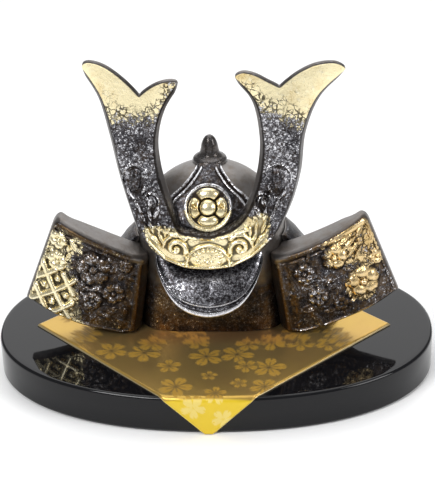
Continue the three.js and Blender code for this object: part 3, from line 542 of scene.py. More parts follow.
# Outlines, as shares of each piece's width, depth and height
BOWL = table(["height", "width", "front", "back", "squareness"], [
    [0.00, 0.97, 0.72, 0.97, 4.0], [0.15, 0.955, 0.72, 0.97, 3.8], [0.32, 0.95, 0.76, 0.98, 3.2],
    [0.45, 0.97, 0.92, 1.00, 2.5], [0.55, 0.98, 1.00, 1.00, 2.2], [0.65, 0.955, 0.985, 0.97, 2.1],
    [0.75, 0.88, 0.90, 0.89, 2.0], [0.84, 0.75, 0.76, 0.76, 2.0], [0.91, 0.585, 0.60, 0.60, 2.0],
    [0.96, 0.40, 0.41, 0.41, 2.0], [0.99, 0.20, 0.20, 0.20, 2.0], [1.00, 0.00, 0.00, 0.00, 2.0],
])
BOWL_CURVE = {key: Profile(BOWL["height"], BOWL[key])
              for key in ("width", "front", "back", "squareness")}

# Rows up each horn: outer edge x, z and inner edge x, z. The tails go from outer to inner tip.
CREST_LEFT = [
    [0.00, 0.000, 0.000, 0.156], [0.205, 0.012, 0.12, 0.166], [0.385, 0.065, 0.23, 0.186],
    [0.515, 0.157, 0.285, 0.262], [0.595, 0.304, 0.348, 0.378], [0.665, 0.473, 0.395, 0.505],
    [0.72, 0.662, 0.403, 0.652], [0.793, 0.846, 0.338, 0.804], [0.945, 0.997, 0.197, 0.937],
]
CREST_RIGHT = [
    [0.00, 0.000, 0.000, 0.156], [0.205, 0.020, 0.12, 0.174], [0.385, 0.072, 0.235, 0.208],
    [0.525, 0.173, 0.32, 0.272], [0.632, 0.308, 0.393, 0.378], [0.703, 0.467, 0.44, 0.505],
    [0.738, 0.662, 0.45, 0.657], [0.853, 0.841, 0.393, 0.836], [1.085, 0.969, 0.226, 0.96],
]
TAIL_LEFT = [[0.945, 0.997], [0.885, 1.014], [0.76, 0.995], [0.622, 0.936], [0.502, 0.861],
             [0.422, 0.9], [0.345, 0.925], [0.265, 0.937], [0.197, 0.937]]
TAIL_RIGHT = [[1.085, 0.969], [0.985, 0.997], [0.84, 0.993], [0.7, 0.956], [0.571, 0.897],
              [0.475, 0.93], [0.38, 0.962], [0.29, 0.974], [0.226, 0.96]]
FLAP_COLUMNS = ["along", "bottomX", "bottomZ", "topX", "topZ", "front", "depth"]
FLAP = {-1: table(FLAP_COLUMNS, [
    [0.00, 0.385, 0.002, 0.315, 0.65, 0.72, 0.9], [0.06, 0.42, 0.003, 0.35, 0.67, 0.93, 1],
    [0.14, 0.48, 0.008, 0.41, 0.70, 1, 1.06], [0.30, 0.59, 0.04, 0.50, 0.762, 1, 1.06],
    [0.50, 0.71, 0.08, 0.60, 0.83, 0.965, 0.98], [0.75, 0.86, 0.16, 0.71, 0.893, 0.86, 0.9],
    [1.00, 1.00, 0.25, 0.81, 0.935, 0.64, 0.8],
]), 1: table(FLAP_COLUMNS, [
    [0.00, 0.375, 0.002, 0.305, 0.65, 0.72, 0.9], [0.06, 0.41, 0.004, 0.34, 0.67, 0.93, 1],
    [0.14, 0.475, 0.012, 0.405, 0.70, 1, 1.06], [0.30, 0.585, 0.055, 0.50, 0.755, 1, 1.02],
    [0.50, 0.71, 0.12, 0.61, 0.83, 0.965, 0.84], [0.75, 0.86, 0.205, 0.72, 0.905, 0.86, 0.7],
    [1.00, 1.00, 0.305, 0.815, 0.96, 0.64, 0.55],
])}


def mm(name):
    """A driving size in mm"""
    return getattr(sizes(), name) / MM


def helmet_base():
    """Height of the casting's foot, on the cloth"""
    return mm("board_thickness") + GAP + mm("cloth_thickness") + GAP


def crest_base():
    """Height of the crest's lowest edge"""
    return helmet_base() + mm("bowl_height") - CREST_BELOW_APEX


def bowl_share(z):
    """Height as a share of the bowl's"""
    return np.clip((z - helmet_base()) / mm("bowl_height"), 0, 1)


def bowl_front(x, z):
    """Depth of the bowl's front face at x, z"""
    share = bowl_share(z)
    n = BOWL_CURVE["squareness"](share)
    half = np.maximum(0.5 * mm("bowl_width") * BOWL_CURVE["width"](share), 0.01)
    across = np.minimum(np.abs(x) / half, 1)
    return AXIS_Y - mm("bowl_front") * BOWL_CURVE["front"](share) * (1 - across ** n) ** (1 / n)


def bowl_half_width(y, z):
    """Half width of the bowl's outside at a depth and height, 0 where the bowl doesn't reach"""
    share = bowl_share(z)
    n = BOWL_CURVE["squareness"](share)
    reach = np.where(y < AXIS_Y, mm("bowl_front") * BOWL_CURVE["front"](share),
                     mm("bowl_back") * BOWL_CURVE["back"](share))
    across = np.abs(y - AXIS_Y) / np.maximum(reach, 0.01)
    inside = np.clip(1 - np.minimum(across, 1) ** n, 0, 1) ** (1 / n)
    return 0.5 * mm("bowl_width") * BOWL_CURVE["width"](share) * np.where(across < 1, inside, 0)


def bowl_offset(x, z, distance):
    """Points in front of the bowl's surface at x, z, moved out along its normal"""
    step = 0.4
    y = bowl_front(x, z)
    slope_x = (bowl_front(x + step, z) - bowl_front(x - step, z)) / (2 * step)
    slope_z = (bowl_front(x, z + step) - bowl_front(x, z - step)) / (2 * step)
    size = np.sqrt(slope_x * slope_x + slope_z * slope_z + 1)
    return np.stack([x + distance * slope_x / size, y - distance / size,
                     z + distance * slope_z / size], -1)


def oval(half_x, front, back, squareness, count):
    """Closed outline that is rounder or squarer than an ellipse, with its own front and back"""
    a = np.arange(count) * 2 * math.pi / count
    c, s = np.cos(a), np.sin(a)
    x = half_x * np.sign(c) * np.abs(c) ** (2 / squareness)
    y = np.where(s < 0, front, back) * np.sign(s) * np.abs(s) ** (2 / squareness)
    return x, y


def on_helmet(points):
    """Points moved from the helmet's own middle to its place on the board"""
    return np.asarray(points, float) + [HELMET_X, 0, 0]


def soften(field, reach):
    """Mean of a grid's values over a square of cells, taken twice"""
    for axis in (0, 1):
        for _ in range(2):
            pad = [(reach + 1, reach) if n == axis else (0, 0) for n in (0, 1)]
            run = np.cumsum(np.pad(field, pad, mode="edge"), axis=axis)
            near, far = (np.take(run, np.arange(k, k + field.shape[axis]), axis=axis)
                         for k in (2 * reach + 1, 0))
            field = (near - far) / (2 * reach + 1)
    return field


def carved(ornament, reach, gain=1.1):
    """Mark of high and low places beside their surroundings: 0.5 on plain ground. From it the metal
    finish paints highlight on the high places and shade in the low ones
    """
    return np.clip(0.5 + gain * (ornament - soften(ornament, reach)), 0, 1)


def marks(rise, gilt, worn):
    """Attributes for the metal finish, each as one flat array"""
    return {key: np.broadcast_to(field, rise.shape).ravel()
            for key, field in zip(METAL_MARKS, (rise, gilt, worn))}


def both_sides(front_marks):
    """Attributes of a slab whose back is plain"""
    return {key: np.concatenate([v, np.zeros_like(v)]) for key, v in front_marks.items()}


# Board and cloth

BOARD_SQUARENESS = 2.19
CLOTH_CENTRE = (-1.2, -1.8)
CUT_EDGE_THICKNESS, CUT_EDGE_WIDTH = 0.2, 0.8

# Printed blossoms in front of the helmet: x, y and size in mm
FRONT_BLOSSOMS = (
    (-62, -12, 7.2), (-48.3, -27.4, 7), (-32.7, -29.1, 7.4), (-20.3, -40.9, 5.4),
    (-3.2, -32.5, 7.8), (11.2, -30.8, 7.4), (27.4, -19.5, 7.2), (41, -21, 6.2),
    (26.2, -42.2, 7.6), (15.5, -41, 5.2), (-1.4, -49.2, 3.6), (-16.3, -58.6, 7.4),
    (12.6, -55.6, 3.8), (24.2, -58.6, 6.4), (2, -64, 5), (-8, -71, 5.4), (5.5, -77, 5), (58, -12, 6))
REAR_TRIES, REAR_REACH, REAR_FRONT = 34, 85, -22


def board_half_depth(x):
    """Half depth of the oval board at x"""
    share = np.clip(1 - np.abs(2 * x / mm("board_length")) ** BOARD_SQUARENESS, 0, 1)
    return 0.5 * mm("board_depth") * share ** (1 / BOARD_SQUARENESS)


class KABUTO_OT_board(bpy.types.Operator):
    """Oval display board in gloss black lacquer"""
    bl_idname = "kabuto.board"
    bl_label = "Display board"

    def execute(self, context):
        edge, top = mm("board_edge"), mm("board_thickness")
        half_length, half_depth = mm("board_length") / 2, mm("board_depth") / 2
        turn = np.radians(np.linspace(0, 90, 9))
        levels = [(edge + inset, 0) for inset in (30, 12, 2)]
        levels += [(edge * (1 - math.sin(a)), edge * (1 - math.cos(a))) for a in turn]
        levels += [(edge * (1 - math.cos(a)), top - edge * (1 - math.sin(a))) for a in turn]
        levels += [(edge + inset, top) for inset in (2, 12, 30, 48)]
        loops = []
        for inset, z in levels:
            x, y = oval(half_length - inset, half_depth - inset, half_depth - inset,
                        BOARD_SQUARENESS, 256)
            loops.append(np.stack([x, y, np.full_like(x, z)], 1))
        points, faces = rings(loops, [0, 0, 0], [0, 0, top])
        make_mesh("lacquered_board", points, faces, "display_board",
                  lacquer_finish(), sharp=70)
        return {"FINISHED"}


def blossom_places(rng):
    """The blossoms in front of the helmet, and others at random behind them"""
    places = list(FRONT_BLOSSOMS)
    for _ in range(REAR_TRIES):
        a, b = rng.uniform(-1, 1, 2)
        x, y = REAR_REACH * (a - b) / 2, REAR_REACH * (a + b) / 2
        if y > REAR_FRONT:
            places.append((x, y, rng.uniform(5.5, 8)))
    return places


def blossom_print(u, v):
    """Cherry blossoms printed on the cloth: fill and outline at flat places in mm"""
    fill, line = np.zeros_like(u), np.zeros_like(u)
    rng = np.random.default_rng(11)
    wedge = 2 * math.pi / 5
    for cu, cv, size in blossom_places(rng):
        radius = 1.15 * size
        turn = rng.uniform(0, 2 * math.pi)
        du, dv = u - cu, v - cv
        r = np.hypot(du, dv) / radius
        a = np.mod(np.arctan2(dv, du) - turn + wedge / 2, wedge) - wedge / 2
        along, across = r * np.cos(a), np.abs(r * np.sin(a))

        # One petal, narrow at the heart, widest past its middle and notched at its tip
        share = np.clip((along - 0.06) / 0.94, 0, 1)
        half = 0.62 * share ** 0.75 * (1 - share) ** 0.4
        half = half - 0.14 * np.exp(-((share - 1) / 0.14) ** 2)
        notch = smooth(0.03, -0.03, along - 1 + 0.3 * np.exp(-(across / 0.05) ** 2))
        petal = smooth(-0.03, 0.03, half - across) * (along > 0) * notch

        spoke = np.abs(np.mod(a + 1.25 * wedge, wedge / 2) - wedge / 4) * r * radius
        stamens = smooth(0.55, 0.2, spoke) * smooth(0.62, 0.5, r)
        heart = smooth(0.13, 0.07, r)
        outline = 0.45 * np.exp(-((half - across) * radius / 0.22) ** 2) * (along > 0.15) * notch
        if radius > 5.2:
            fill = fill * (1 - 0.85 * smooth(1.08, 1.0, r) * (1 - petal))
        fill = np.maximum(fill, petal)
        drawn = np.maximum(outline, np.maximum(0.85 * stamens, heart))
        line = np.maximum(line * (1 - petal), drawn)
    return np.clip(fill, 0, 1), np.clip(line, 0, 1)


class KABUTO_OT_cloth(bpy.types.Operator):
    """Square gold cloth, laid cornerwise and folded down over the board's edges"""
    bl_idname = "kabuto.cloth"
    bl_label = "Display cloth"

    def execute(self, context):
        cx, cy = CLOTH_CENTRE
        reach = mm("cloth_side") / math.sqrt(2)
        thick = mm("cloth_thickness")
        under = mm("board_thickness") + GAP
        bend = mm("board_edge") + GAP
        fold = 0.5 * math.pi * bend
        half_depth = float(board_half_depth(cx))
        edge = half_depth + GAP - bend
        hang = edge + fold + under - bend - GAP
        rows = np.unique(np.concatenate([
            np.linspace(max(cy - reach, -hang), -edge - fold - 0.4, 26),
            np.linspace(-edge - fold, -edge, 12),
            np.linspace(-edge + 0.4, -22, 106),
            np.linspace(-20, edge - 0.4, 42),
            np.linspace(edge, edge + fold, 12),
            np.linspace(edge + fold + 0.4, min(cy + reach - 0.4, hang), 22), [cy]]))
        across = np.linspace(-1, 1, 181)
        along = np.repeat(rows[:, None], len(across), 1)
        u = cx + (reach - np.abs(along - cy)) * across[None, :]

        def lay(lift):
            """Points at a lift over the cloth's underside, flat on the board or bent over its edge"""
            local_edge = board_half_depth(u) + GAP - bend
            past = np.abs(along) - local_edge
            turn = np.clip(past / bend, 0, 0.5 * math.pi)
            out = np.sign(along) * (local_edge + (bend + lift) * np.sin(turn))
            down = under - bend + (bend + lift) * np.cos(turn) - np.maximum(past - fold, 0)
            return np.stack([u, np.where(past <= 0, along, out),
                             np.where(past <= 0, under + lift, down)], -1)

        inwards = (1 - np.abs(across)) * (reach - np.abs(along - cy)) / math.sqrt(2)
        full = smooth(0.0, CUT_EDGE_WIDTH, inwards)
        points, faces = slab(lay(CUT_EDGE_THICKNESS + (thick - CUT_EDGE_THICKNESS) * full),
                             lay(0.1 - GAP))
        fill, line = blossom_print(u, along)
        hanging = smooth(half_depth - 0.6, half_depth + 0.2, np.abs(along))
        # Painted copper glow in front of the helmet's foot, a painted reflection of the helmet
        glow = smooth(-25, -13, along) * smooth(-4, -10, along) * smooth(46, 26, np.abs(u - cx))
        cut = np.broadcast_to(np.abs(across) > 0.995, u.shape).astype(float)
        on_both = {key: np.tile(field.ravel(), 2)
                   for key, field in zip(CLOTH_MARKS, (fill, line, hanging, glow, cut))}
        piece = make_mesh("brocade_cloth", points, faces, "display_cloth",
                          cloth_finish(), on_both, 60)
        flat = np.tile(np.stack([u.ravel(), along.ravel()], 1), (2, 1)) * MM
        index = np.empty(len(piece.data.loops), np.int64)
        piece.data.loops.foreach_get("vertex_index", index)
        layer = piece.data.uv_layers.new(name="flat")
        layer.data.foreach_set("uv", flat[index].ravel().astype(np.float32))
        return {"FINISHED"}


# Bowl, finial, plate, medallion

class KABUTO_OT_bowl(bpy.types.Operator):
    """Hollow bowl with its base wall, and the finial on its top"""
    bl_idname = "kabuto.bowl"
    bl_label = "Bowl and finial"

    def execute(self, context):
        self.bowl()
        self.finial()
        return {"FINISHED"}

    def bowl(self):
        base, height, wall = helmet_base(), mm("bowl_height"), mm("bowl_wall")
        outer = np.concatenate([np.linspace(0, 0.9, 80), 1 - np.geomspace(0.1, 0.0006, 34)[1:]])
        inner = np.concatenate([np.linspace(0, 0.8, 34), 1 - np.geomspace(0.2, 0.02, 12)[1:]])

        def outline(share, inset, z):
            at = {key: float(curve(share)) for key, curve in BOWL_CURVE.items()}
            x, y = oval(0.5 * mm("bowl_width") * at["width"] - inset,
                        mm("bowl_front") * at["front"] - inset,
                        mm("bowl_back") * at["back"] - inset, at["squareness"], 144)
            return np.stack([x, AXIS_Y + y, np.full_like(x, z)], 1)

        hollow = [s for s in inner if 0.5 * mm("bowl_width") * BOWL_CURVE["width"](s) > wall + 3]
        loops = [outline(s, wall, base + s * (height - wall)) for s in hollow][::-1]
        loops += [outline(s, 0, base + s * height) for s in outer]
        top_inside = base + max(hollow) * (height - wall) + 0.8
        points, faces = rings(loops, [0, AXIS_Y, top_inside], [0, AXIS_Y, base + height])
        # Worn rises towards the foot, so the lower bowl turns to dark speckled iron: partly painted
        # shade under the peak, partly speckle of wear
        worn = 0.3 * smooth(base + 32, base + 14, points[:, 2])
        make_mesh("bowl_casting", on_helmet(points), faces, "bowl",
                  cast_metal("iron_smooth", colours().gold, brown=0.85, shine=0.34),
                  marks(np.full(len(points), 0.5), 0.0, worn), 60)

    def finial(self):
        shape = [[0.0, -0.2], [0.96, -0.2], [1, -0.08], [0.94, 0.08], [0.72, 0.19], [0.6, 0.27],
                 [0.52, 0.42], [0.45, 0.66], [0.31, 0.87], [0.14, 0.975], [0, 1]]
        height, radius = FINIAL["height"], FINIAL["radius"]
        turn = np.arange(72) * 2 * math.pi / 72
        centre_y, foot = AXIS_Y + FINIAL["behind_axis"], helmet_base() + mm("bowl_height")
        loops = [np.stack([radius * r * np.cos(turn), centre_y + radius * r * np.sin(turn),
                           np.full_like(turn, foot + height * level)], 1)
                 for r, level in spline(shape, np.linspace(1, 9.92, 70))]
        points, faces = rings(loops, [0, centre_y, foot - 0.2 * height], [0, centre_y, foot + height])
        make_mesh("finial_casting", on_helmet(points), faces, "finial",
                  cast_metal("iron_finial", colours().gold, brown=0.3, shine=0.26),
                  marks(np.full(len(points), 0.5), 0.0, 0.09), 60)


PLATE_HALF = Profile([0, 0.3, 0.5, 0.6, 0.8, 1], [0.62, 0.78, 1, 0.93, 0.6, 0.27])


def plate_foot():
    """Height of the gable plate's lower edge"""
    return helmet_base() + mm("bowl_height") - PLATE["below_apex"] - PLATE["height"]


def plate_surface(x, z, rise):
    """Points on the plate's crowned face, raised by the relief"""
    crown = PLATE["crown"] * (2 * x / PLATE["width"]) ** 2
    return bowl_offset(x, z, GAP + PLATE["thickness"] + crown + rise)


class KABUTO_OT_plate(bpy.types.Operator):
    """Gable plate on the bowl's front, with the medallion and its blossom"""
    bl_idname = "kabuto.plate"
    bl_label = "Front plate and medallion"

    def execute(self, context):
        self.gable()
        self.disc()
        self.blossom()
        return {"FINISHED"}

    def gable(self):
        share = np.linspace(0, 1, 130)
        across = ramp(-1, 1, 110, 1.25)
        half = 0.5 * PLATE["width"] * PLATE_HALF(share)
        x = half[:, None] * across[None, :]
        z = np.repeat(plate_foot() + share[:, None] * PLATE["height"], len(across), 1)
        relief = Relief(x, z)
        s = np.linspace(0.2, 0.97, 40)
        for side in (-1, 1):
            for inset, width, height in ((0.8, 1.1, 1.0), (2.9, 0.95, 0.85)):
                path = np.stack([side * (0.5 * PLATE["width"] * PLATE_HALF(s) - inset),
                                 plate_foot() + s * PLATE["height"]], 1)
                relief.stroke(path, width, height)
        from_edge = (1 - np.abs(across))[None, :] * half[:, None]
        front = plate_surface(x, z, relief.rise - 0.7 * smooth(0.8, 0.0, from_edge))
        points, faces = slab(front, bowl_offset(x, z, 2 * GAP))
        worn = 0.2 + 0.6 * smooth(0.5, 0.85, relief.rise)
        # From the carved rise mark the finish paints highlight on the ridges and shade beside them
        make_mesh("gable_plate", on_helmet(points), faces, "front_plate",
                  cast_metal("iron_plate", colours().gold, brown=0.4, shine=0.38),
                  both_sides(marks(carved(relief.rise, 5), 0.0, worn)), 60)

    def settle(self, points):
        """Points of the medallion, whose axis is Y, leant back against the plate"""
        height = plate_foot() + MEDALLION["up_plate"]
        face = plate_surface(np.array(0.0), np.array(height), MEDALLION["thickness"])
        lean = Matrix.Rotation(math.pi - math.radians(MEDALLION["tilt"]), 4, "X")
        move = np.array(Matrix.Translation((0, float(face[1]), height)) @ lean)
        return on_helmet(points @ move[:3, :3].T + move[:3, 3])

    def disc(self):
        radius, thick = MEDALLION["radius"], MEDALLION["thickness"]
        section = np.array([[0.0, -1.2], [0.6, -1.2], [1, -1.2], [1, -0.4], [1, 0.1], [0.985, 0.36],
                            [0.93, 0.5], [0.87, 0.36], [0.845, 0.06], [0.8, 0.02], [0.4, 0.02],
                            [0.0, 0.02]]) * [radius, thick]
        turn = np.arange(120) * 2 * math.pi / 120
        loops = [np.stack([r * np.cos(turn), np.full_like(turn, level), r * np.sin(turn)], 1)
                 for r, level in spline(section, np.linspace(0.2, 10.8, 90))]
        points, faces = rings(loops, [0, -1.2 * thick, 0], [0, 0.02 * thick, 0])
        distance = np.hypot(points[:, 0], points[:, 2])
        on_rim = smooth(0.8 * radius, 0.86 * radius, distance) * smooth(-0.1, 0.3, points[:, 1])
        low = smooth(0.0, 0.45, points[:, 2] / radius)
        on_side = smooth(0.6, 0.8, distance / radius) * (points[:, 1] > -0.3)
        gilt = on_rim * (0.2 + 0.95 * low) + 0.9 * low * on_side
        # Rise paints highlight on the raised rim and a little shade over the rest of the disc
        make_mesh("medallion_disc", self.settle(points), faces, "medallion",
                  cast_metal("iron_medallion", colours().gold, brown=0.7, shine=0.3),
                  marks(0.38 + 0.5 * on_rim, np.clip(gilt, 0, 1), 0.2 + 0.8 * on_rim), 60)

    def blossom(self):
        radius, petal_at, bead_radius, bead_height = 9.0, 5.9, 4.1, 3.2
        r = np.concatenate([np.linspace(0.02, 1.0, 70), [1.0]])
        a = np.arange(180) * 2 * math.pi / 180
        u = r[:, None] * radius * np.cos(a)[None, :]
        v = r[:, None] * radius * np.sin(a)[None, :]
        relief = Relief(u, v)
        for k, (long, wide) in enumerate(((6.4, 9.8), (6.2, 9.8), (6.4, 9.8), (7.2, 11.0))):
            b = math.radians(90 * k)
            relief.dome(petal_at * math.cos(b), petal_at * math.sin(b), long, wide, 90 * k, 2.6)
            if k % 2 == 0:
                relief.dimple(6.2 * math.cos(b), -0.6, 1.3, 1.9)
        diagonal = np.abs(np.abs(u) - np.abs(v)) / math.sqrt(2)
        from_middle = np.hypot(u, v)
        groove = 0.1 + 0.1 * np.clip(from_middle - bead_radius, 0, None)
        between = smooth(groove + 0.42, groove, diagonal) * smooth(3.4, 4.0, from_middle)
        relief.rise *= 1 - 0.95 * between
        relief.dome(0, 0, 8.8, 8.8, 0, bead_height)
        round_bead = np.exp(-((from_middle - bead_radius) / 0.34) ** 2)
        rise = np.clip(relief.rise * (1 - 0.8 * round_bead), 0, None)
        rise[-1] = 0
        lift = 0.02 * MEDALLION["thickness"] + 0.12
        loops = np.stack([u, lift + rise, v], -1)[::-1]
        points, faces = rings(loops, [0, lift - 0.1, 0], [0, lift + bead_height, 0])
        deep = np.concatenate([rise[::-1].ravel(), [0, bead_height]])
        bare = np.concatenate([round_bead[::-1].ravel(), [0, 0]])
        gold = smooth(0.1, 0.5, deep) * (1 - 0.8 * bare)
        # Rise paints shade in the blossom's low places and between its petals
        make_mesh("medallion_blossom", self.settle(points), faces, "medallion_flower",
                  cast_metal("gilded_blossom", colours().gold, brown=0.9, shine=0.3),
                  marks(0.15 + 0.35 * np.minimum(deep, 1.1), gold, 0.2), 60)


# Crest

def crest_front(x, z):
    """Depth of the crest's face, which bends back to the sides and leans back upwards"""
    return AXIS_Y - CREST_FRONT + x * x / 560 + 0.1 * (z - crest_base())


def crest_point(side, t, s):
    """Place x, z on the crest's face

    t runs from the middle to the tail, and s from the outer to the inner edge.
    """
    rows = CREST_LEFT if side < 0 else CREST_RIGHT
    tail = TAIL_LEFT if side < 0 else TAIL_RIGHT
    last = len(rows) - 1
    first = rows[1]
    edges = spline([[-first[0], first[1], -first[2], first[3]], *rows], 1 + t * last)
    outer, inner = edges[..., :2], edges[..., 2:]
    weight = np.where(t > 0.55, np.clip((t - 0.55) / 0.45, 0, 1) ** 1.6, 0)[..., None]
    inside = np.clip(s, 0, 1)
    arm_outer = spline(tail[:5], inside / 0.5 * 4)
    arm_inner = spline(tail[4:], (inside - 0.5) / 0.5 * 4)
    tip = np.where((inside > 0.5)[..., None], arm_inner, arm_outer)
    end = np.array(rows[last], float)
    line = end[:2] + (end[2:] - end[:2]) * inside[..., None]
    place = outer + (inner - outer) * s[..., None] + weight * (tip - line)
    return (side * place[..., 0] * mm("crest_half_span"),
            crest_base() + place[..., 1] * mm("crest_height"))


def cartouche(r, foot):
    """Half-round panel in the middle of the band, with a fan of leaves and fine grains"""
    r.stroke([(-9.8, foot + 2.2), *arc(0, foot + 3.4, 9.7, 178, 2, 22, 0.92), (9.8, foot + 2.2)],
             1.5, 1.7)
    r.dome(0, foot + 6.2, 18.4, 10.6, 0, 0.9)
    for k in range(9):
        a = math.radians(25 + 16.25 * k)
        r.leaf(7.7 * math.cos(a), foot + 4 + 6.6 * math.sin(a), 2.2, 0.8, math.degrees(a), 1.3)
    rng = np.random.default_rng(5)
    for _ in range(26):
        a, q = rng.uniform(0.1, math.pi - 0.1), rng.uniform(0.1, 0.85)
        r.dome(6.6 * q * math.cos(a), foot + 3.2 + 5 * q * math.sin(a), 1.2, 0.9,
               rng.uniform(0, 180), 1.35)


# Leaves beside the cartouche and up the horns: x, height over the foot, length, width, turn, rise
CREST_LEAVES = (
    (21.4, 15.6, 7, 2, 70, 1.4), (23.4, 14.2, 7.4, 2, 58, 1.4), (25.4, 16, 7.4, 1.9, 52, 1.4),
    (19.4, 18.6, 5.8, 1.8, 92, 1.4), (22.2, 20.6, 6.4, 1.8, 84, 1.4), (25.6, 20.6, 7, 2, 70, 1.4),
    (27.6, 19.6, 6, 1.7, 60, 1.4), (17.6, 20, 3.8, 1.5, 120, 1.4), (23.2, 27.6, 7.5, 2.6, 118, 1.2),
    (26.2, 26.8, 7.6, 2.2, 80, 1.2), (29.6, 26, 7.6, 2.0, 66, 1.1), (31.6, 31, 6.4, 1.8, 62, 1.1),
    (25.8, 32.6, 5.2, 2.8, 100, 1.0), (35.2, 37.2, 4.8, 1.7, 74, 1.1), (28.6, 38.4, 4.2, 1.7, 116, 1.0))
BUD_X, BUD_UP = 31.8, 43


def crest_ornament(x, z):
    """Scrolls, cartouche, buds and leaves of the crest"""
    r = Relief(x, z)
    foot = crest_base()
    r.stroke([(-27, 84), (-19, 80.4), (-12.6, 78.9), (-6, 77.6), (0.3, 77.2), (6, 77.7),
              (12, 79.2), (19.5, 81.6)], 1.3, 0.9)
    r.stroke([(-27.5, foot + 14), (-20, foot + 5.6), (-10.5, foot + 1.6), (0, foot + 0.9),
              (10.5, foot + 1.8), (20, foot + 6.6), (30, foot + 16)], 1.5, 0.9)
    cartouche(r, foot)
    for side in (-1, 1):
        def turn(angle):
            return angle if side > 0 else 180 - angle

        def scroll(middle_x, up, radius, start, stop, count, squash=1.0):
            return arc(side * middle_x, foot + up, radius, turn(start), turn(stop), count, squash)

        r.spiral(side * 14.7, foot + 10.6, 4.8, turn(200), 1.15, 2.7, 1.8, -side)
        r.stroke([(side * 10.4, foot + 15.2), (side * 12.8, foot + 17), (side * 16.5, foot + 17.2),
                  (side * 19.4, foot + 14.6), (side * 20.6, foot + 11)], 2.2, 1.5, 0.4)
        r.stroke(scroll(11.9, 5.2, 2.2, 120, 300, 10), 0.9, 1.0)
        for across, up, long, wide, angle, height in CREST_LEAVES:
            r.leaf(side * across, foot + up, long, wide, turn(angle), height)
        r.stroke(scroll(25.4, 33.4, 3.7, 200, 20, 14), 1.0, 1.3)
        r.stroke(scroll(25.4, 33.0, 2.2, 190, 30, 12), 0.8, 1.0)
        r.dome(side * BUD_X, foot + BUD_UP, 10.6, 4.4, turn(98), 1.7)
        r.stroke(scroll(32.0, 43.4, 6.2, -20, 150, 18, 1.15), 0.9, 1.2, 0.3)
        r.stroke([(side * 34.4, foot + 36), (side * 33, foot + 34.4), (side * 30.6, foot + 34.6)],
                 1.1, 1.2, 0.5)
    return r.rise


# Section of the crest's rounded sides and tails: distance out past the face, share of the height
CREST_WALL = ((2.1, 0.14), (1.75, 0.3), (1.35, 0.46), (0.95, 0.62), (0.6, 0.75), (0.3, 0.855),
              (0.0, 0.93), (-0.35, 0.975), (-0.75, 0.995))
TAIL_WALL = ((2.1, 0.2), (1.5, 0.42), (0.9, 0.68), (0.45, 0.86), (0.15, 0.95))


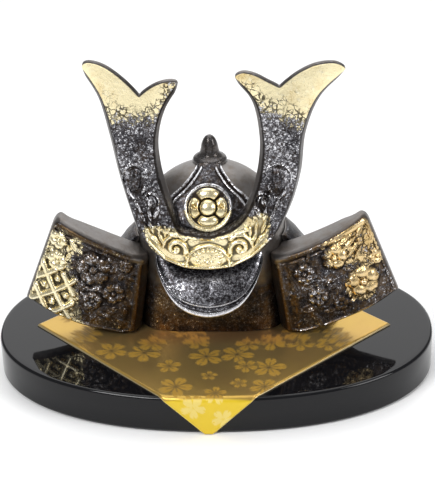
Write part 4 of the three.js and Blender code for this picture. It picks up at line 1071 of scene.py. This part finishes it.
class KABUTO_OT_crest(bpy.types.Operator):
    """U-shaped crest with two swallow-tailed horns, gilded on the heads and the band"""
    bl_idname = "kabuto.crest"
    bl_label = "Crest"

    def execute(self, context):
        horns = [self.horn(side) for side in (-1, 1)]
        front, back, *fields = (np.concatenate(parts) for parts in zip(*horns))
        points, faces = slab(front, back)
        flat = {key: field.ravel() for key, field in zip(METAL_MARKS, fields)}
        make_mesh("crest_casting", on_helmet(points), faces, "crest",
                  cast_metal("gilded_crest_iron", colours().gold, brown=0.3, shine=0.33),
                  both_sides(flat), 62)
        return {"FINISHED"}

    def horn(self, side):
        """Front and back points of one half of the crest, and its marks"""
        run = np.concatenate([np.linspace(0.0, 0.86, 150), np.linspace(0.86, 1.0, 44)[1:]])
        run = run[::-1] if side < 0 else run[1:]
        x, z, rise, s = self.round_tail(*self.face_grid(side, run), 0 if side < 0 else -1)
        level = np.clip((z - crest_base()) / mm("crest_height"), 0, 1)
        band_thick = mm("crest_thickness")
        thick = band_thick + (HEAD_THICKNESS - band_thick) * smooth(0.4, 0.95, level)
        ornament = 1.25 * crest_ornament(x, z)
        on_face = smooth(0.84, 0.97, rise)
        bulge = np.sqrt(np.clip(1 - (2 * np.clip(s, 0, 1) - 1) ** 2, 0, 1))
        pillow = bulge * (0.3 + 0.9 * smooth(112, 136, z))
        face_y = crest_front(x, z)
        y = face_y + thick * (1 - rise) - (ornament + pillow * smooth(88, 100, z)) * on_face
        touching = np.minimum(face_y + thick, np.maximum(bowl_front(x, z) - GAP, face_y + 1.2))
        free = (z > helmet_base() + mm("bowl_height") - 1) | (np.abs(x) > 0.49 * mm("bowl_width"))
        back_y = np.where(free, face_y + thick, touching)
        front = np.stack([x, np.minimum(y, back_y - 0.4), z], -1)
        back = np.stack([x, back_y, z], -1)
        return front, back, *self.horn_marks(side, x, z, s, rise, ornament)

    @staticmethod
    def face_grid(side, run):
        """Places x, z over one half, with each place's share of the height and of the width"""
        outer = crest_point(side, run, np.zeros_like(run))
        inner = crest_point(side, run, np.ones_like(run))
        width = np.hypot(inner[0] - outer[0], inner[1] - outer[1])
        narrow = 1 - 0.85 * smooth(0.93, 1.0, run)
        columns = [-out * narrow / width for out, _ in CREST_WALL]
        rises = [np.full_like(run, level) for _, level in CREST_WALL]
        for s in np.linspace(0, 1, 66)[1:-1]:
            columns.append(np.full_like(run, s))
            rises.append(1 - 0.02 * smooth(1.6, 0.0, np.minimum(s, 1 - s) * width))
        for out, level in CREST_WALL[::-1]:
            columns.append(1 + out * narrow / width)
            rises.append(np.full_like(run, level))
        s = np.stack(columns, 1)
        along = np.repeat(run[:, None], s.shape[1], 1)

        # The two corners of a tail are drawn in, so that its tips are round
        far = np.clip((along - 0.98) / 0.02, 0, 1)
        by_outer, by_inner = np.clip(1 - s / 0.07, 0, 1), np.clip(1 - (1 - s) / 0.07, 0, 1)
        corner = np.maximum(by_outer, by_inner)
        along = along - 0.02 * far * (1 - np.sqrt(1 - 0.5 * corner ** 2))
        s = s + 0.07 * (by_outer - by_inner) * (1 - np.sqrt(1 - 0.5 * far ** 2))
        x, z = crest_point(side, along, s)
        return x, z, np.stack(rises, 1), s

    @staticmethod
    def round_tail(x, z, rise, s, end):
        """The grid with rows past the swallow tail that round its edge down towards the back"""
        inside = 1 if end == 0 else -2
        dx, dz = np.gradient(x[end]), np.gradient(z[end])
        size = np.maximum(np.hypot(dx, dz), 1e-6)
        nx, nz = -dz / size, dx / size
        outwards = np.sign(nx * (x[end] - x[inside]) + nz * (z[end] - z[inside]))
        outwards[outwards == 0] = 1
        kernel = np.ones(7) / 7
        nx, nz = (np.convolve(np.pad(v * outwards, 3, mode="edge"), kernel, mode="valid")
                  for v in (nx, nz))
        place = np.arange(len(nx))
        fade = smooth(3, 20, np.minimum(place, place[::-1]))
        more = (
            [x[end] + nx * out * 0.3 * fade for out, _ in TAIL_WALL],
            [z[end] + nz * out * 0.3 * fade for out, _ in TAIL_WALL],
            [np.minimum(level, rise[end]) for _, level in TAIL_WALL],
            [s[end]] * len(TAIL_WALL))
        if end == 0:
            return [np.concatenate([rows, grid]) for rows, grid in zip(more, (x, z, rise, s))]
        return [np.concatenate([grid, rows[::-1]]) for rows, grid in zip(more, (x, z, rise, s))]

    @staticmethod
    def horn_marks(side, x, z, s, rise, ornament):
        """Marks for the finish: rise, gilt and worn"""
        on_face = smooth(0.84, 0.97, rise)
        lean = z + 0.5 * (x - 33) if side > 0 else z - 0.1 * (x + 28)
        head = 0.5 * smooth(122, 136, lean) + 0.5 * smooth(133, 149, lean)
        head = head - 0.5 * smooth(-22, -14, x) * smooth(130, 142, z) * (side < 0)
        band = smooth(33, 25, np.abs(x + 1)) * smooth(87, 79, z - 0.25 * np.maximum(x, 0))
        lower_rim = smooth(0.16, 0.03, s) * (1 - 0.3 * smooth(0.3, 0.9, ornament))
        gilt_band = band * (0.9 + 0.2 * ornament - 0.3 * lower_rim)
        gilt = np.maximum(head * on_face, gilt_band * on_face)

        outline = smooth(0.6, 0.8, rise) * smooth(0.985, 0.94, rise)
        # Worn is raised on the inner wall at the bottom of the U, turning it to dark iron: painted
        # shade beside the medallion
        inner_wall = 0.14 * smooth(27, 22, np.abs(x)) * smooth(92, 86, z)
        side_wall = np.where(s < 0.5, 0.09, 0.05) * (1 - on_face)
        from_bud = np.hypot((np.abs(x) - BUD_X) / 2.6, (z - crest_base() - BUD_UP) / 5.6)
        bud = smooth(1.15, 0.8, from_bud)
        # This mark paints highlight on the raised ornament and shade beside it, flatter on the bud; it
        # is lowered along the rounded edge, which darkens a thin line there
        height = 0.5 + (carved(ornament, 4, 0.8) - 0.5) * (1 - 0.9 * bud)
        high = height * on_face + 0.5 * (1 - on_face) - 0.4 * outline
        face_worn = 0.64 - 0.16 * smooth(106, 92, z) - 0.14 * band - 0.3 * bud
        worn = np.maximum(face_worn * on_face, inner_wall + side_wall)
        return high, gilt, np.maximum(worn, 0.3 * outline)


# Peak

CREST_LOWER = Profile([row[0] for row in CREST_LEFT[:6]], [row[1] for row in CREST_LEFT[:6]])


class KABUTO_OT_peak(bpy.types.Operator):
    """Rounded brow peak with two raised rims, silver speckle on dark iron"""
    bl_idname = "kabuto.peak"
    bl_label = "Peak"

    def execute(self, context):
        along = np.concatenate([np.linspace(0, 0.74, 60), np.linspace(0.74, 1.0, 60)[1:]])
        rims = Profile([0, 0.735, 0.765, 0.8, 0.835, 0.86, 0.89, 0.93, 0.985, 1.0],
                       [0, 0, 0.15, 1.6, 0.15, 0, 0.2, 2.1, 1.8, 0.5])
        angle = np.radians(ramp(-84, 84, 150, 1.1))
        sine, cosine = np.sin(angle), np.cos(angle)
        brow_x = 0.96 * PEAK["half"] * sine
        lower_edge = CREST_LOWER(np.abs(brow_x) / mm("crest_half_span"))
        brow_z = crest_base() + mm("crest_height") * lower_edge - 2.1 - 2 * GAP
        brow = np.stack([brow_x, bowl_front(brow_x, brow_z) - GAP, brow_z], -1)
        rim_x = PEAK["half"] * sine
        rim_y = bowl_front(rim_x, brow_z) - 2.5 - PEAK["reach"] * cosine ** 0.9
        rim = np.stack([rim_x, rim_y, brow_z - 1.5 - PEAK["drop"] * cosine ** 0.75], -1)
        t = along[:, None, None]
        middle = brow[None] + (rim - brow)[None] * t
        out = np.stack([0.2 * sine, np.full_like(angle, -0.78), np.full_like(angle, 0.58)], -1)[None]
        bulge = PEAK["bulge"] * np.sin(math.pi * t) * cosine[None, :, None]
        ridge = rims(along)[:, None, None] * smooth(0.02, 0.2, cosine)[None, :, None]
        front = middle + out * (bulge + ridge)
        back = middle + out * (bulge - PEAK["thickness"])
        back[..., 1] = np.minimum(back[..., 1], bowl_front(back[..., 0], back[..., 2]) - GAP)
        front[..., 1] = np.minimum(front[..., 1], back[..., 1] - 0.1)
        points, faces = slab(front, back)
        # The carved rise mark paints highlight on the two rims and shade beside them; the rims' silver
        # comes from wear and from this painted highlight
        raised = np.broadcast_to(rims(along)[:, None], front.shape[:2])
        make_mesh("peak_casting", on_helmet(points), faces, "peak",
                  cast_metal("iron_peak", colours().gold, brown=0.08, shine=0.34),
                  both_sides(marks(carved(raised, 4, 1.4), 0.0, 0.5 + 0.8 * raised)), 62)
        return {"FINISHED"}


# Side flaps

FLAP_FRONT, FLAP_DEPTH = 25, 12
FLAP_LENGTH, FLAP_RISE = 56.0, 42.0

# Blossoms on each flap: x, z, radius, turn, height
FLAP_BLOSSOMS = {
    -1: ((-55, 55.4, 8.6, 22, 2.7), (-71.4, 68.6, 4.8, 60, 1.9), (-72.6, 57.8, 5.2, 10, 1.9),
         (-46, 42.6, 5.6, 40, 2.3), (-39.4, 57.2, 3.8, 0, 1.7), (-38.6, 66.6, 2.8, 30, 1.5),
         (-56.5, 38.6, 5, 15, 2.0)),
    1: ((58.3, 61, 6.4, 10, 2.5), (72.5, 47, 7.8, 30, 2.5), (44.4, 53, 5.4, 30, 2.3),
        (51, 40.6, 5.2, 0, 2.2), (79, 58.5, 4, 50, 1.7), (62, 36.5, 4, 15, 1.6)),
}
# Leaves on each flap: x, z, length, width, turn
FLAP_LEAVES = {
    -1: ((-63.7, 66.6, 8, 3, 118), (-60.8, 64.2, 6.5, 2.2, 128), (-66.4, 61, 6, 2.6, 60),
         (-44.8, 66, 7, 3, 150), (-48.6, 65, 5, 2.4, 40), (-62, 47, 8, 2.6, 150),
         (-57, 45, 7, 2, 160), (-51.5, 44.4, 8, 2.4, 165), (-60, 41, 6, 2, 140),
         (-47, 33.4, 6, 2, 20), (-52, 31.4, 7, 2, 150), (-41, 33, 6, 2.2, 100),
         (-66.5, 64.6, 5, 2, 95)),
    1: ((62.8, 69.4, 9.5, 2.4, 38), (65, 67.2, 10, 2.4, 47), (67.2, 64.6, 10, 2.2, 56),
        (61, 70.8, 8, 2, 26), (69.4, 62, 8.5, 2, 66), (54.4, 72.6, 8, 2.4, 18),
        (70, 73, 7, 2.2, 60), (74.8, 71, 7, 2.4, 100), (73.4, 76, 6, 2, 130),
        (79.6, 66.6, 7, 2.2, 110), (64.6, 54.4, 6, 2, 160), (52.4, 66.6, 5, 2.2, 140),
        (46, 61.5, 6, 2.2, 80), (47.5, 33.5, 7, 2.2, 30), (56.5, 33, 6.5, 2, 10),
        (67.5, 38, 6, 2, 35), (84, 50, 6, 2, 100), (57, 49, 6, 2.2, 20)),
}


def flap_point(side, along, up):
    """Place x, y, z on a flap's face and its depth there: along to the side, up to its top edge"""
    rows = FLAP[side]
    at = {key: Profile(rows["along"], rows[key])(along) for key in FLAP_COLUMNS[1:]}
    x = side * mm("flap_reach") * (at["bottomX"] + (at["topX"] - at["bottomX"]) * up)
    z = helmet_base() + mm("flap_height") * (at["bottomZ"] + (at["topZ"] - at["bottomZ"]) * up)
    return x, AXIS_Y - FLAP_FRONT * at["front"], z, FLAP_DEPTH * at["depth"]


def lattice(r, corners):
    """Crossed bars in both directions, with a stud in each opening"""
    a, b, c, d = (np.array(corner) for corner in corners)

    def inside(u, v):
        return (a * (1 - u) + b * u) * (1 - v) + (d * (1 - u) + c * u) * v

    for shift in (-0.62, 0.0, 0.62):
        for start, slope in ((0, 1), (1, -1)):
            bar = [(u, start + slope * u + shift) for u in np.linspace(0, 1, 41)]
            r.stroke([inside(u, v) for u, v in bar if 0 <= v <= 1], 3.3, 2.2)
    for u, v in ((0.5, 0.19), (0.5, 0.81), (0.19, 0.5), (0.81, 0.5), (0.5, 0.5)):
        r.dome(*inside(u, v), 3.4, 3.4, 0, 2.0)


def flap_ornament(side, x, z):
    """Blossoms, leaves, border and lattice of a flap"""
    r = Relief(x, z)
    rng = np.random.default_rng(21 if side < 0 else 34)

    def at(along, up):
        px, _, pz, _ = flap_point(side, np.array(float(along)), np.array(float(up)))
        return float(px), float(pz)

    for _ in range(110):
        place = at(rng.uniform(0.08, 0.97), rng.uniform(0.05, 0.86))
        height = rng.uniform(0.35, 0.85)
        if rng.uniform() < 0.45:
            r.dome(*place, rng.uniform(2.6, 5), rng.uniform(1.8, 3), rng.uniform(0, 180), height)
        else:
            r.leaf(*place, rng.uniform(5, 9), rng.uniform(1.8, 3), rng.uniform(0, 180), height)
    r.stroke([at(a, 0.935) for a in np.linspace(0.05, 0.96, 24)], 4.2, 1.1)
    r.stroke([at(a, 0.86) for a in np.linspace(0.06, 0.95, 24)], 0.8, 0.7)
    r.stroke([at(a, 0.03) for a in np.linspace(0.06, 0.97, 24)], 1.6, 0.9)
    r.stroke([at(0.975, u) for u in np.linspace(0.03, 0.95, 16)], 1.6, 0.9)
    r.stroke([at(0.075, u) for u in np.linspace(0.03, 0.9, 16)], 3.0, 0.9)
    for blossom in FLAP_BLOSSOMS[side]:
        r.blossom(*blossom)
    for leaf in FLAP_LEAVES[side]:
        r.leaf(*leaf, 1.7)
    if side < 0:
        lattice(r, [at(0.6 + 0.36 * a, 0.04 + 0.44 * b) for a, b in ((0, 0), (1, 0), (1, 1), (0, 1))])
    return r.rise


def flap_gilding(side, x, z):
    """Gilt patches on the outer blossoms and the lattice"""
    if side < 0:
        outer = smooth(-60, -68, x + 0.14 * (z - 50)) * smooth(76.5, 71, z + 0.1 * x + 8)
        return np.maximum(outer, 0.9 * smooth(6.5, 3.5, np.hypot(x + 63.7, z - 66)))
    upper = smooth(50, 60, x) * smooth(52, 60, z + 0.2 * (x - 60))
    lower = smooth(10.5, 7, np.hypot(x - 72, (z - 46) * 0.9))
    return np.maximum(upper, lower) * smooth(84.5, 80, x + 0.12 * (60 - z))


class KABUTO_OT_flaps(bpy.types.Operator):
    """Two turned-back side flaps with raised blossoms and leaves"""
    bl_idname = "kabuto.flaps"
    bl_label = "Side flaps"

    def execute(self, context):
        for side, word, gold in ((-1, "left", colours().gold), (1, "right", colours().old_gold)):
            points, faces, flat = self.flap(side)
            make_mesh(f"flap_casting_{word}", on_helmet(points), faces, f"flap_{word}",
                      cast_metal(f"gilded_flap_iron_{word}", gold, brown=0.9,
                                                shine=0.36), both_sides(flat), 62)
        return {"FINISHED"}

    @staticmethod
    def grid():
        """Places along and up a flap, closer at its edges and drawn in at its outer top corner"""
        along = np.concatenate([np.linspace(0, 0.2, 34), np.linspace(0.2, 0.972, 118)[1:],
                                [0.98, 0.987, 0.993, 0.9975, 1.0]])
        up = np.concatenate([[0, 0.005, 0.012, 0.022, 0.035], np.linspace(0.05, 0.95, 112),
                             [0.965, 0.978, 0.988, 0.995, 1.0]])
        a, u = np.meshgrid(along, up, indexing="ij")
        far_a, far_u = np.clip((a - 0.9) / 0.1, 0, 1), np.clip((u - 0.86) / 0.14, 0, 1)
        a = np.where(far_a > 0, 0.9 + 0.1 * far_a * np.sqrt(1 - 0.5 * far_u ** 2), a)
        u = np.where(far_u > 0, 0.86 + 0.14 * far_u * np.sqrt(1 - 0.5 * far_a ** 2), u)
        return a, u

    def flap(self, side):
        """Points, faces and marks of one flap"""
        a, u = self.grid()
        x, y, z, depth = flap_point(side, a, u)
        z = z - 1.3 * np.sin(math.pi * a) * smooth(0.85, 1.0, u)

        # Distance to the nearest edge, with the outer top corner rounded by 5 mm
        to_side, to_top = (1 - a) * FLAP_LENGTH, (1 - u) * FLAP_RISE
        gap = np.minimum(np.minimum(u, 1 - u) * FLAP_RISE, to_side)
        corner = np.hypot(np.clip(5 - to_top, 0, 5), np.clip(5 - to_side, 0, 5))
        in_corner = (corner > 0) & (u > 0.6) & (a > 0.8)
        gap = np.where(in_corner, np.minimum(gap, np.clip(5 - corner, 0, 5)), gap)

        fall = 1.6 * (1 - np.sqrt(np.clip(1 - np.clip(1 - gap / 1.9, 0, 1) ** 2, 0, 1)))
        ornament = flap_ornament(side, x, z) * smooth(0.3, 1.8, gap)
        groove = 0.9 * np.exp(-((a - 0.115) / 0.022) ** 2) * smooth(0.0, 0.2, 1 - u)
        front = np.stack([x, y + fall + groove - ornament, z], -1)
        reach = y + depth * (0.75 + 0.25 * u)
        guard = guard_reach() + 0.5
        back_y = reach + (1.4 - reach) * smooth(guard + 9, guard - 1, np.abs(x)) - fall
        back = np.stack([x, back_y, z], -1)
        for sheet in (front, back):
            least = bowl_half_width(sheet[..., 1], sheet[..., 2]) + GAP
            sheet[..., 0] = side * np.maximum(np.abs(sheet[..., 0]), least)

        border = 0.3 * smooth(0.87, 0.9, u) * smooth(0.98, 0.96, u)
        gilt = flap_gilding(side, x, z) * smooth(0.985, 0.955, u) * (0.56 + 0.3 * ornament)
        gilt = np.clip(gilt + border, 0, 1)
        face = smooth(0.2, 1.2, gap)
        worn = 0.36 + 0.08 * ornament - 0.25 * smooth(0.87, 0.9, u) - 0.25 * smooth(0.2, 0.05, a)
        # The carved rise mark paints brown and silver highlight on the raised ornament and shade in the
        # hollows beside it
        rise = carved(ornament, 4, 0.65) * face + 0.5 * (1 - face)
        return *slab(front, back), marks(rise, gilt * face, worn * face)


# Neck guard

def guard_reach():
    """How far the neck guard's outside stands from the middle"""
    return 0.5 * mm("bowl_width") + GAP + mm("guard_flare") + GUARD["step"] + GUARD["wall"] + GAP


class KABUTO_OT_guard(bpy.types.Operator):
    """Flared neck guard of four lames round the back"""
    bl_idname = "kabuto.neck_guard"
    bl_label = "Neck guard"

    def execute(self, context):
        flare, wall, step, lames = mm("guard_flare"), GUARD["wall"], GUARD["step"], GUARD["lames"]
        shares, proud = [], []
        for n in range(lames):
            t = np.concatenate([np.linspace(0, 0.86, 12), np.linspace(0.88, 0.965, 7)])
            bead = 0.45 * np.sqrt(np.clip(1 - ((t - 0.91) / 0.05) ** 2, 0, 1))
            shares += list((n + t) / lames)
            proud += list(step * t + np.where(t > 0.86, bead, 0))
        shares, proud = np.array([*shares, 1.0]), np.array([*proud, step * 0.6])
        outer = self.sheet(shares, flare * shares + proud + wall * np.minimum(1, 0.3 + 5 * shares))
        inner = self.sheet(shares, flare * shares - 0.3 * wall)
        points, faces = slab(outer, inner)
        # Rise grows as each lame steps out, painting a little highlight on the beads
        rise = np.broadcast_to(0.45 + 0.12 * (proud / step)[:, None], outer.shape[:2])
        on_bead = smooth(0.8, 1.1, proud / step)[:, None]
        worn = np.broadcast_to(0.25 + 0.3 * on_bead, outer.shape[:2])
        make_mesh("neck_guard_casting", on_helmet(points), faces, "neck_guard",
                  cast_metal("iron_guard", colours().gold, brown=0.6, shine=0.38),
                  both_sides(marks(rise, 0.0, worn)), 50)
        return {"FINISHED"}

    @staticmethod
    def sheet(shares, flares):
        """Rows of points round the back, each flared out, and kept clear of the bowl"""
        rows = []
        for share, out in zip(shares, flares):
            back, front = mm("bowl_back") + GAP + out, mm("bowl_front") + GAP + out
            start = math.asin((GUARD["end"] - AXIS_Y) / front)
            a = np.linspace(start, math.pi - start, 150)
            depth = np.where(np.sin(a) < 0, front, back)
            z = helmet_base() + mm("guard_top") * (1 - share)
            rows.append(np.stack([(0.5 * mm("bowl_width") + GAP + out) * np.cos(a),
                                  AXIS_Y + depth * np.sin(a), np.full_like(a, z)], 1))
        points = np.array(rows)
        x, y, z = points[..., 0], points[..., 1], points[..., 2]
        short = bowl_half_width(y, z) + GAP - np.abs(x)
        scale = 1 + np.where(short > 0, short / np.maximum(np.hypot(x, y - AXIS_Y), 1), 0)
        return np.stack([x * scale, AXIS_Y + (y - AXIS_Y) * scale, z], -1)


# Small repeated ornament

def bead_tree(material):
    """Geometry nodes that set a flattened bead on each point of a mesh"""
    tree = bpy.data.node_groups.new("beads_on_points", "GeometryNodeTree")
    sockets = tree.interface
    sockets.new_socket("Geometry", in_out="INPUT", socket_type="NodeSocketGeometry")
    radius = sockets.new_socket("Bead radius", in_out="INPUT", socket_type="NodeSocketFloat")
    flatness = sockets.new_socket("Flatness", in_out="INPUT", socket_type="NodeSocketFloat")
    sockets.new_socket("Geometry", in_out="OUTPUT", socket_type="NodeSocketGeometry")
    new, link = tree.nodes.new, tree.links.new
    start, end = new("NodeGroupInput"), new("NodeGroupOutput")
    ball = new("GeometryNodeMeshUVSphere")
    ball.inputs["Segments"].default_value = 14
    ball.inputs["Rings"].default_value = 8
    link(start.outputs["Bead radius"], ball.inputs["Radius"])
    shape = new("ShaderNodeCombineXYZ")
    shape.inputs["X"].default_value = 1.0
    shape.inputs["Z"].default_value = 1.0
    link(start.outputs["Flatness"], shape.inputs["Y"])
    scatter = new("GeometryNodeInstanceOnPoints")
    link(start.outputs["Geometry"], scatter.inputs["Points"])
    link(ball.outputs["Mesh"], scatter.inputs["Instance"])
    link(shape.outputs["Vector"], scatter.inputs["Scale"])
    real = new("GeometryNodeRealizeInstances")
    link(scatter.outputs["Instances"], real.inputs["Geometry"])
    smooth_faces = new("GeometryNodeSetShadeSmooth")
    link(real.outputs["Geometry"], smooth_faces.inputs["Geometry"])
    paint = new("GeometryNodeSetMaterial")
    paint.inputs["Material"].default_value = material
    link(smooth_faces.outputs["Geometry"], paint.inputs["Geometry"])
    link(paint.outputs["Geometry"], end.inputs["Geometry"])
    return tree, radius.identifier, flatness.identifier


def bead_rows(name, points, radius, flatness, material):
    """Beads on points in mm, as one plain mesh"""
    seeds = bpy.data.meshes.new(name + "_points")
    seeds.from_pydata((np.asarray(points) * MM).tolist(), [], [])
    carrier = bpy.data.objects.new(name + "_points", seeds)
    bpy.context.scene.collection.objects.link(carrier)
    tree, radius_input, flatness_input = bead_tree(material)
    modifier = carrier.modifiers.new("beads", "NODES")
    modifier.node_group = tree
    modifier[radius_input] = radius * MM
    modifier[flatness_input] = flatness
    evaluated = carrier.evaluated_get(bpy.context.evaluated_depsgraph_get())
    mesh = bpy.data.meshes.new_from_object(evaluated)
    mesh.name = name
    carrier.modifiers.clear()
    bpy.data.objects.remove(carrier)
    bpy.data.meshes.remove(seeds)
    # Rise 1 paints highlight all over each bead
    for key, value in zip(METAL_MARKS, (1.0, 1.0, 0.3)):
        layer = mesh.attributes.new(key, "FLOAT", "POINT")
        layer.data.foreach_set("value", np.full(len(mesh.vertices), value, np.float32))
    piece = bpy.data.objects.new(name, mesh)
    bpy.context.scene.collection.objects.link(piece)
    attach(piece, "root")


class KABUTO_OT_beads(bpy.types.Operator):
    """Row of small beads in the crest's cartouche"""
    bl_idname = "kabuto.beads"
    bl_label = "Beads"

    def execute(self, context):
        x, z = arc(0, crest_base() + 4.4, 5.9, 172, 8, 9, 0.86).T
        bead_rows("cartouche_beads", on_helmet(np.stack([x, crest_front(x, z) - 1.0, z], 1)),
                  0.85, 0.9,
                  cast_metal("gilded_bead", colours().gold, brown=0.2, shine=0.28))
        return {"FINISHED"}


# Stage

FLOOR_HALF, FLOOR_BELOW = 6.0, 0.0003
STUDIO_COLOUR, STUDIO_STRENGTH = (0.98, 0.985, 1.0, 1), 0.32

# Soft boxes round the ornament: name, place, size in metres and power in watts
SOFTBOXES = (
    ("key_softbox", (-0.5, -0.7, 0.9), 0.45, 8.0),
    ("fill_softbox", (0.75, -0.35, 0.55), 0.4, 3.5),
    ("top_softbox", (0.0, 0.3, 1.0), 1.0, 5.0),
    ("back_softbox", (0.0, 2.0, 1.2), 2.5, 24.0),
)
LIT_PLACE = (0, 0, 0.05)
CAMERA_PLACE, CAMERA_AIM, CAMERA_ROLL = (0.0319, -0.6638, 0.4077), (0.00179, 0, 0.06), -1.45
CAMERA_LENS, CAMERA_SENSOR = 114.65, 36


def towards(place, aim):
    """Turn of a lamp or camera at a place that looks at another"""
    return (Vector(aim) - Vector(place)).to_track_quat("-Z", "Y")


class KABUTO_OT_stage(bpy.types.Operator):
    """Pale floor, soft studio light and the camera"""
    bl_idname = "kabuto.stage"
    bl_label = "Stage"

    def execute(self, context):
        self.floor(context.scene)
        self.light(context.scene)
        self.camera(context.scene)
        context.scene.view_settings.view_transform = "Standard"
        return {"FINISHED"}

    def floor(self, scene):
        mesh = bpy.data.meshes.new("floor")
        corners = [(x * FLOOR_HALF, y * FLOOR_HALF, -FLOOR_BELOW)
                   for x, y in ((-1, -1), (1, -1), (1, 1), (-1, 1))]
        mesh.from_pydata(corners, [], [(0, 1, 2, 3)])
        floor = bpy.data.objects.new("floor", mesh)
        scene.collection.objects.link(floor)
        paper = Finish("floor_paper")
        paper.set(base_color=(0.93, 0.93, 0.93), roughness=0.9, specular_ior_level=0.1)
        mesh.materials.append(paper.material)

    def light(self, scene):
        world = bpy.data.worlds.new("studio")
        world.use_nodes = True
        background = world.node_tree.nodes["Background"]
        background.inputs["Color"].default_value = STUDIO_COLOUR
        background.inputs["Strength"].default_value = STUDIO_STRENGTH
        scene.world = world
        for name, place, size, power in SOFTBOXES:
            light = bpy.data.lights.new(name, "AREA")
            light.size = size
            light.energy = power
            lamp = bpy.data.objects.new(name, light)
            lamp.location = place
            lamp.rotation_euler = towards(place, LIT_PLACE).to_euler()
            scene.collection.objects.link(lamp)

    def camera(self, scene):
        data = bpy.data.cameras.new("photo_camera")
        data.lens = CAMERA_LENS
        data.sensor_width = CAMERA_SENSOR
        data.clip_start = 0.05
        camera = bpy.data.objects.new("photo_camera", data)
        camera.location = CAMERA_PLACE
        roll = Matrix.Rotation(math.radians(CAMERA_ROLL), 3, "Z")
        aim = towards(CAMERA_PLACE, CAMERA_AIM).to_matrix()
        camera.rotation_euler = (aim @ roll).to_euler()
        scene.collection.objects.link(camera)
        scene.camera = camera


# Panel and registration

STEPS = (KABUTO_OT_board, KABUTO_OT_cloth, KABUTO_OT_bowl, KABUTO_OT_plate, KABUTO_OT_crest,
         KABUTO_OT_peak, KABUTO_OT_flaps, KABUTO_OT_guard, KABUTO_OT_beads, KABUTO_OT_stage)


class KABUTO_PT_panel(bpy.types.Panel):
    """Sizes, colours and building steps"""
    bl_idname = "KABUTO_PT_panel"
    bl_label = "Kabuto"
    bl_space_type = "VIEW_3D"
    bl_region_type = "UI"
    bl_category = "Kabuto"

    def draw(self, context):
        layout = self.layout
        for group in (context.scene.kabuto_sizes, context.scene.kabuto_colours):
            box = layout.box()
            for key in group.bl_rna.properties.keys():
                if key not in {"rna_type", "name"}:
                    box.prop(group, key)
        for step in STEPS:
            layout.operator(step.bl_idname)


CLASSES = (KabutoSizes, KabutoColours, *STEPS, KABUTO_PT_panel)


def register():
    for kind in CLASSES:
        bpy.utils.register_class(kind)
    bpy.types.Scene.kabuto_sizes = bpy.props.PointerProperty(type=KabutoSizes)
    bpy.types.Scene.kabuto_colours = bpy.props.PointerProperty(type=KabutoColours)


def unregister():
    del bpy.types.Scene.kabuto_colours
    del bpy.types.Scene.kabuto_sizes
    for kind in reversed(CLASSES):
        bpy.utils.unregister_class(kind)


def main():
    register()
    for step in STEPS:
        group, name = step.bl_idname.split(".")
        getattr(getattr(bpy.ops, group), name)()


if __name__ == "__main__":
    main()
